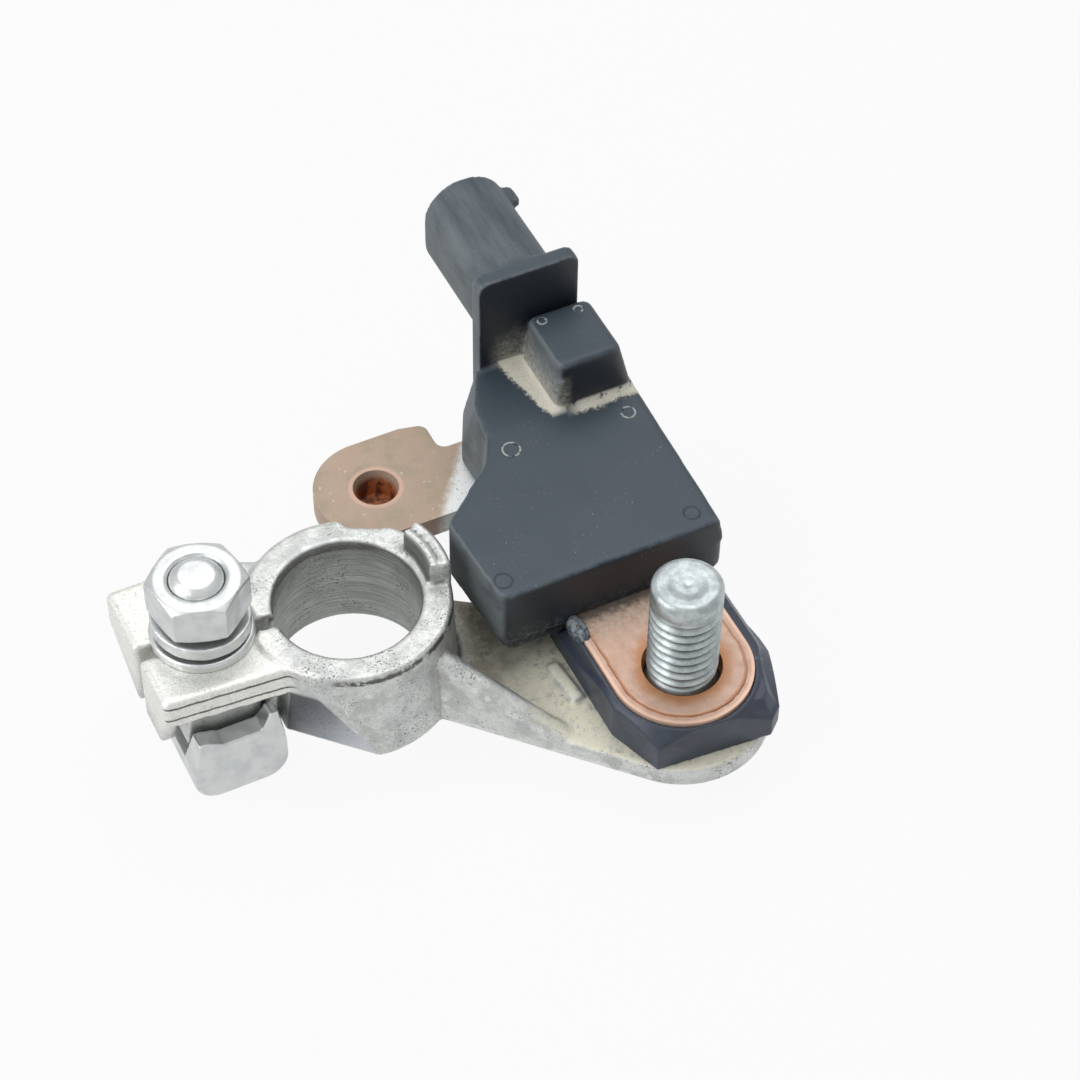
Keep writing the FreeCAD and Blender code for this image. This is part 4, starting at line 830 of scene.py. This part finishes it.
def stud_surface(settings, centre, bottom, top):
    """Rings of the stud from its hidden foot to the centre mark in its tip.

    The radius is the major radius less a groove: depth times the power 1.3 of a triangle wave of
    (height / pitch - angle / full turn). The groove fades out over the plain shoulder. The tip then
    follows a quarter-round edge, a flat rim, a shallow dish and a centre mark, all as radius and
    height against one running parameter.
    """
    columns = 72
    rows_per_pitch = 14
    angle = np.linspace(0.0, 2.0 * math.pi, columns, endpoint=False)[None, :]
    shoulder = top - settings.stud_shoulder

    rows = int((shoulder - THREAD_START) / settings.stud_pitch * rows_per_pitch)
    height = np.linspace(THREAD_START, shoulder, rows)[:, None]
    phase = (height - THREAD_START) / settings.stud_pitch - angle / (2.0 * math.pi)
    groove = (1.0 - np.abs(2.0 * (phase % 1.0) - 1.0)) ** 1.3
    fade = np.clip((shoulder - height) / (1.5 * settings.stud_pitch), 0.0, 1.0)
    radius = STUD_CREST - settings.stud_depth * groove * fade ** 0.7
    threads = np.stack([radius * np.cos(angle), radius * np.sin(angle),
                        np.broadcast_to(height, radius.shape)], axis=-1)

    head_radius = 5.6 * MM
    neck_radius = 3.8 * MM
    foot = [(head_radius, bottom + 0.1 * MM), (head_radius, bottom + 1.8 * MM),
            (neck_radius, bottom + 1.9 * MM), (neck_radius, THREAD_START - 0.15 * MM)]
    edge = 0.9 * MM
    turn = np.linspace(0.0, math.pi / 2.0, 9)[1:]
    round_radius = STUD_CREST - edge + edge * np.cos(turn)
    round_height = top - edge + edge * np.sin(turn)
    inward = np.linspace(1.0, 0.02, 24)[1:]
    face_radius = (STUD_CREST - edge) * inward
    dish = np.clip((2.5 * MM - face_radius) / (1.3 * MM), 0.0, 1.0)
    centre_mark = 0.12 * MM * np.exp(-(face_radius / (0.35 * MM)) ** 2)
    face_height = top - 0.28 * MM * dish ** 2 * (3.0 - 2.0 * dish) - centre_mark

    tip = list(zip(round_radius, round_height)) + list(zip(face_radius, face_height))
    points = np.concatenate([plain_rings(foot, angle), threads, plain_rings(tip, angle)])
    points[..., 0] += centre[0]
    points[..., 1] += centre[1]
    return points


def plain_rings(pairs, angle):
    """Level circles about the Z axis, one for each pair of radius and height."""
    radii, heights = np.array(pairs).T[:, :, None]
    return np.stack([radii * np.cos(angle), radii * np.sin(angle),
                     np.broadcast_to(heights, (len(pairs), angle.size))], axis=-1)


class TERMINAL_OT_shunt(bpy.types.Operator):
    """Finishes the two copper plates and the resistor strip between them"""
    bl_idname = "terminal.shunt"
    bl_label = "Shunt"

    def execute(self, context):
        settings = context.scene.terminal_shunt
        dress("shunt_stud_plate", stud_plate_finish(settings))
        dress("shunt_tab_plate", tab_finish(settings))
        alloy = plain_finish("resistor alloy", RESISTOR_PALE, RESISTOR_DARK, 2.0 * MM, 0.45, 0.7)
        dress("shunt_resistor", alloy)
        return {"FINISHED"}


class TERMINAL_OT_insulator(bpy.types.Operator):
    """Makes the moulded insulator under the stud plate, and the flash at its corner"""
    bl_idname = "terminal.insulator"
    bl_label = "Insulator"

    def execute(self, context):
        settings = context.scene.terminal_plastic
        mesh = softened_copy("stud_insulator", INSULATOR_GRID, rounds=3)
        piece = add_piece("insulator", mesh, "terminal", insulator_finish(settings))
        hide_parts("stud_insulator")
        mesh = tube_mesh("flash", flash_surface())
        add_piece("moulding_flash", mesh, "terminal", flash_finish(settings))
        return {"FINISHED"}


def flash_surface():
    """Small lumpy blob: a stretched sphere whose radius swells and dips.

    With a the angle round the Z axis and b the angle from the lower end, the radius is 1 plus a
    twentieth of sin(3a) sin(2b) plus a twentieth of cos(3a + 2b). X, Y and Z are then scaled by the
    half sizes.
    """
    around = np.linspace(0.0, 2.0 * math.pi, 40, endpoint=False)[None, :]
    rise = np.linspace(0.04, math.pi - 0.04, 24)[:, None]
    ripple = np.sin(3.0 * around) * np.sin(2.0 * rise) + np.cos(3.0 * around + 2.0 * rise)
    swell = 1.0 + 0.05 * ripple
    sphere = np.stack([swell * np.sin(rise) * np.cos(around), swell * np.sin(rise) * np.sin(around),
                       -swell * np.cos(rise)], axis=-1)
    return sphere * np.array(FLASH_HALF_SIZES) + np.array(FLASH_CENTRE)


class TERMINAL_OT_housing(bpy.types.Operator):
    """Makes the sensor housing with its plug socket, and the base under it"""
    bl_idname = "terminal.housing"
    bl_label = "Sensor housing"

    def execute(self, context):
        settings = context.scene.terminal_plastic
        plastic = housing_finish(settings)
        mesh = softened_copy("sensor_housing", settings.voxel, settings.softening)
        crisp = softened_copy("sensor_housing", settings.voxel, settings.plug_softening)
        mesh = crisper_end(mesh, crisp, PLUG_BLEND_START, PLUG_BLEND_END)
        piece = add_piece("housing", mesh, "terminal", plastic)
        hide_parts("sensor_housing")
        mesh = softened_copy("housing_base", settings.voxel, rounds=3)
        piece = add_piece("base", mesh, "terminal", plastic)
        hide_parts("housing_base")
        return {"FINISHED"}


class TERMINAL_OT_electronics(bpy.types.Operator):
    """Finishes the board, its parts and the pins inside the sensor"""
    bl_idname = "terminal.electronics"
    bl_label = "Electronics"

    def execute(self, context):
        lacquer = plain_finish("board lacquer", LACQUER_DARK, LACQUER_PALE, 1.5 * MM, 0.35, 0.0)
        dress("circuit_board", lacquer)
        black = plain_finish("chip black", CHIP_DARK, CHIP_PALE, 0.5 * MM, 0.5, 0.0)
        for node in ("measuring_chip", "board_capacitors", "temperature_sensor"):
            dress(node, black)
        tin = plain_finish("pin tin", PIN_PALE, PIN_DARK, 1.0 * MM, 0.28, 1.0)
        for node in ("sense_pins", "connector_pin_left", "connector_pin_right"):
            dress(node, tin)
        return {"FINISHED"}


class TERMINAL_OT_stage(bpy.types.Operator):
    """Sets the pale floor, the soft lamps, the even sky and the camera"""
    bl_idname = "terminal.stage"
    bl_label = "Stage"

    def execute(self, context):
        settings = context.scene.terminal_stage
        scene = context.scene
        low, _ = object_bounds()
        add_floor(settings, low[2] - 0.1 * MM)
        add_lamp("key lamp", KEY_LAMP_PLACE, KEY_LAMP_SIZE, settings.key)
        add_lamp("back lamp", BACK_LAMP_PLACE, BACK_LAMP_SIZE, settings.back)
        add_sky(settings.sky)
        camera = bpy.data.cameras.new("camera")
        camera.lens = settings.lens
        camera.sensor_width = 36.0
        camera.clip_start = 0.01
        camera.clip_end = 10.0
        holder = bpy.data.objects.new("camera", camera)
        scene.collection.objects.link(holder)
        azimuth = math.radians(CAMERA_AZIMUTH)
        fall = math.radians(CAMERA_FALL)
        forward = Vector((math.sin(azimuth) * math.cos(fall), math.cos(azimuth) * math.cos(fall),
                          -math.sin(fall)))
        right = Vector(CAMERA_RIGHT)
        right = (right - forward * right.dot(forward)).normalized()
        up = right.cross(forward)
        turn = Matrix((right, up, -forward)).transposed().to_4x4()
        holder.matrix_world = Matrix.Translation(CAMERA_PLACE) @ turn
        scene.camera = holder
        scene.view_settings.view_transform = "Standard"
        return {"FINISHED"}


def seen_directly(tree):
    """1 where the camera, a reflection or a clear piece sees the surface, and 0 where it lights things."""
    path = tree.nodes.new("ShaderNodeLightPath")
    share = path.outputs["Is Camera Ray"]
    for ray in ("Is Glossy Ray", "Is Transmission Ray"):
        either = tree.nodes.new("ShaderNodeMath")
        either.operation = "MAXIMUM"
        tree.links.new(share, either.inputs[0])
        tree.links.new(path.outputs[ray], either.inputs[1])
        share = either.outputs[0]
    return share


def add_floor(settings, height):
    """Wide floor that shows white to the camera and in reflections, and keeps the shadow."""
    mesh = bpy.data.meshes.new("floor")
    signs = ((-1, -1), (1, -1), (1, 1), (-1, 1))
    corners = [(x * FLOOR_REACH, y * FLOOR_REACH, height) for x, y in signs]
    mesh.from_pydata(corners, [], [(0, 1, 2, 3)])
    floor = bpy.data.objects.new("floor", mesh)
    bpy.context.scene.collection.objects.link(floor)
    floor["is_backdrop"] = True
    material = bpy.data.materials.new("floor")
    material.use_nodes = True
    tree = material.node_tree
    tree.nodes.clear()
    output = tree.nodes.new("ShaderNodeOutputMaterial")
    mix = tree.nodes.new("ShaderNodeMixShader")
    matt = tree.nodes.new("ShaderNodeBsdfDiffuse")
    matt.inputs["Color"].default_value = (*settings.floor, 1.0)
    glow = tree.nodes.new("ShaderNodeEmission")
    glow.inputs["Strength"].default_value = 1.0
    share = tree.nodes.new("ShaderNodeMath")
    share.operation = "MULTIPLY"
    share.inputs[1].default_value = FLOOR_GLOW
    tree.links.new(seen_directly(tree), share.inputs[0])
    tree.links.new(share.outputs[0], mix.inputs[0])
    tree.links.new(matt.outputs[0], mix.inputs[1])
    tree.links.new(glow.outputs[0], mix.inputs[2])
    tree.links.new(mix.outputs[0], output.inputs["Surface"])
    mesh.materials.append(material)


def add_lamp(name, place, size, power):
    """Square soft lamp that faces the object's middle."""
    lamp = bpy.data.lights.new(name, "AREA")
    lamp.shape = "SQUARE"
    lamp.size = size
    lamp.energy = power
    holder = bpy.data.objects.new(name, lamp)
    bpy.context.scene.collection.objects.link(holder)
    holder.location = place
    holder.rotation_euler = (Vector(LAMP_TARGET) - Vector(place)).to_track_quat("-Z", "Y").to_euler()


def add_sky(strength):
    """Even light from all sides; the sky itself shows white to the camera and in reflections."""
    world = bpy.data.worlds.new("sky")
    bpy.context.scene.world = world
    world.use_nodes = True
    tree = world.node_tree
    tree.nodes.clear()
    output = tree.nodes.new("ShaderNodeOutputWorld")
    mix = tree.nodes.new("ShaderNodeMixShader")
    white = tree.nodes.new("ShaderNodeBackground")
    even = tree.nodes.new("ShaderNodeBackground")
    even.inputs["Color"].default_value = (0.96, 0.98, 1.0, 1.0)
    even.inputs["Strength"].default_value = strength
    tree.links.new(seen_directly(tree), mix.inputs[0])
    tree.links.new(even.outputs[0], mix.inputs[1])
    tree.links.new(white.outputs[0], mix.inputs[2])
    tree.links.new(mix.outputs[0], output.inputs["Surface"])


class TERMINAL_PT_panel(bpy.types.Panel):
    """Lists the terminal's pieces and their settings"""
    bl_idname = "TERMINAL_PT_panel"
    bl_label = "Battery terminal"
    bl_space_type = "VIEW_3D"
    bl_region_type = "UI"
    bl_category = "Terminal"

    def draw(self, context):
        for group in SETTINGS:
            box = self.layout.box()
            values = getattr(context.scene, group)
            for key in values.bl_rna.properties.keys():
                if key not in ("rna_type", "name"):
                    box.prop(values, key)
        for operator in OPERATORS:
            self.layout.operator(operator.bl_idname)


SETTINGS = {
    "terminal_casting": CastingSettings,
    "terminal_fasteners": FastenerSettings,
    "terminal_shunt": ShuntSettings,
    "terminal_plastic": PlasticSettings,
    "terminal_stage": StageSettings,
}
OPERATORS = (
    TERMINAL_OT_casting,
    TERMINAL_OT_clamp_bolt,
    TERMINAL_OT_ground_stud,
    TERMINAL_OT_shunt,
    TERMINAL_OT_insulator,
    TERMINAL_OT_housing,
    TERMINAL_OT_electronics,
    TERMINAL_OT_stage,
)


def register():
    """Registers the settings, the operators and the panel."""
    for group in SETTINGS.values():
        bpy.utils.register_class(group)
    for name, group in SETTINGS.items():
        setattr(bpy.types.Scene, name, PointerProperty(type=group))
    for operator in OPERATORS:
        bpy.utils.register_class(operator)
    bpy.utils.register_class(TERMINAL_PT_panel)


def unregister():
    """Takes away what register added, in reverse order."""
    bpy.utils.unregister_class(TERMINAL_PT_panel)
    for operator in reversed(OPERATORS):
        bpy.utils.unregister_class(operator)
    for name in SETTINGS:
        delattr(bpy.types.Scene, name)
    for group in reversed(list(SETTINGS.values())):
        bpy.utils.unregister_class(group)


def main():
    """Registers the add-on and makes every piece and the stage."""
    register()
    bpy.ops.terminal.casting()
    bpy.ops.terminal.clamp_bolt()
    bpy.ops.terminal.ground_stud()
    bpy.ops.terminal.shunt()
    bpy.ops.terminal.insulator()
    bpy.ops.terminal.housing()
    bpy.ops.terminal.electronics()
    bpy.ops.terminal.stage()


if __name__ == "__main__":
    main()
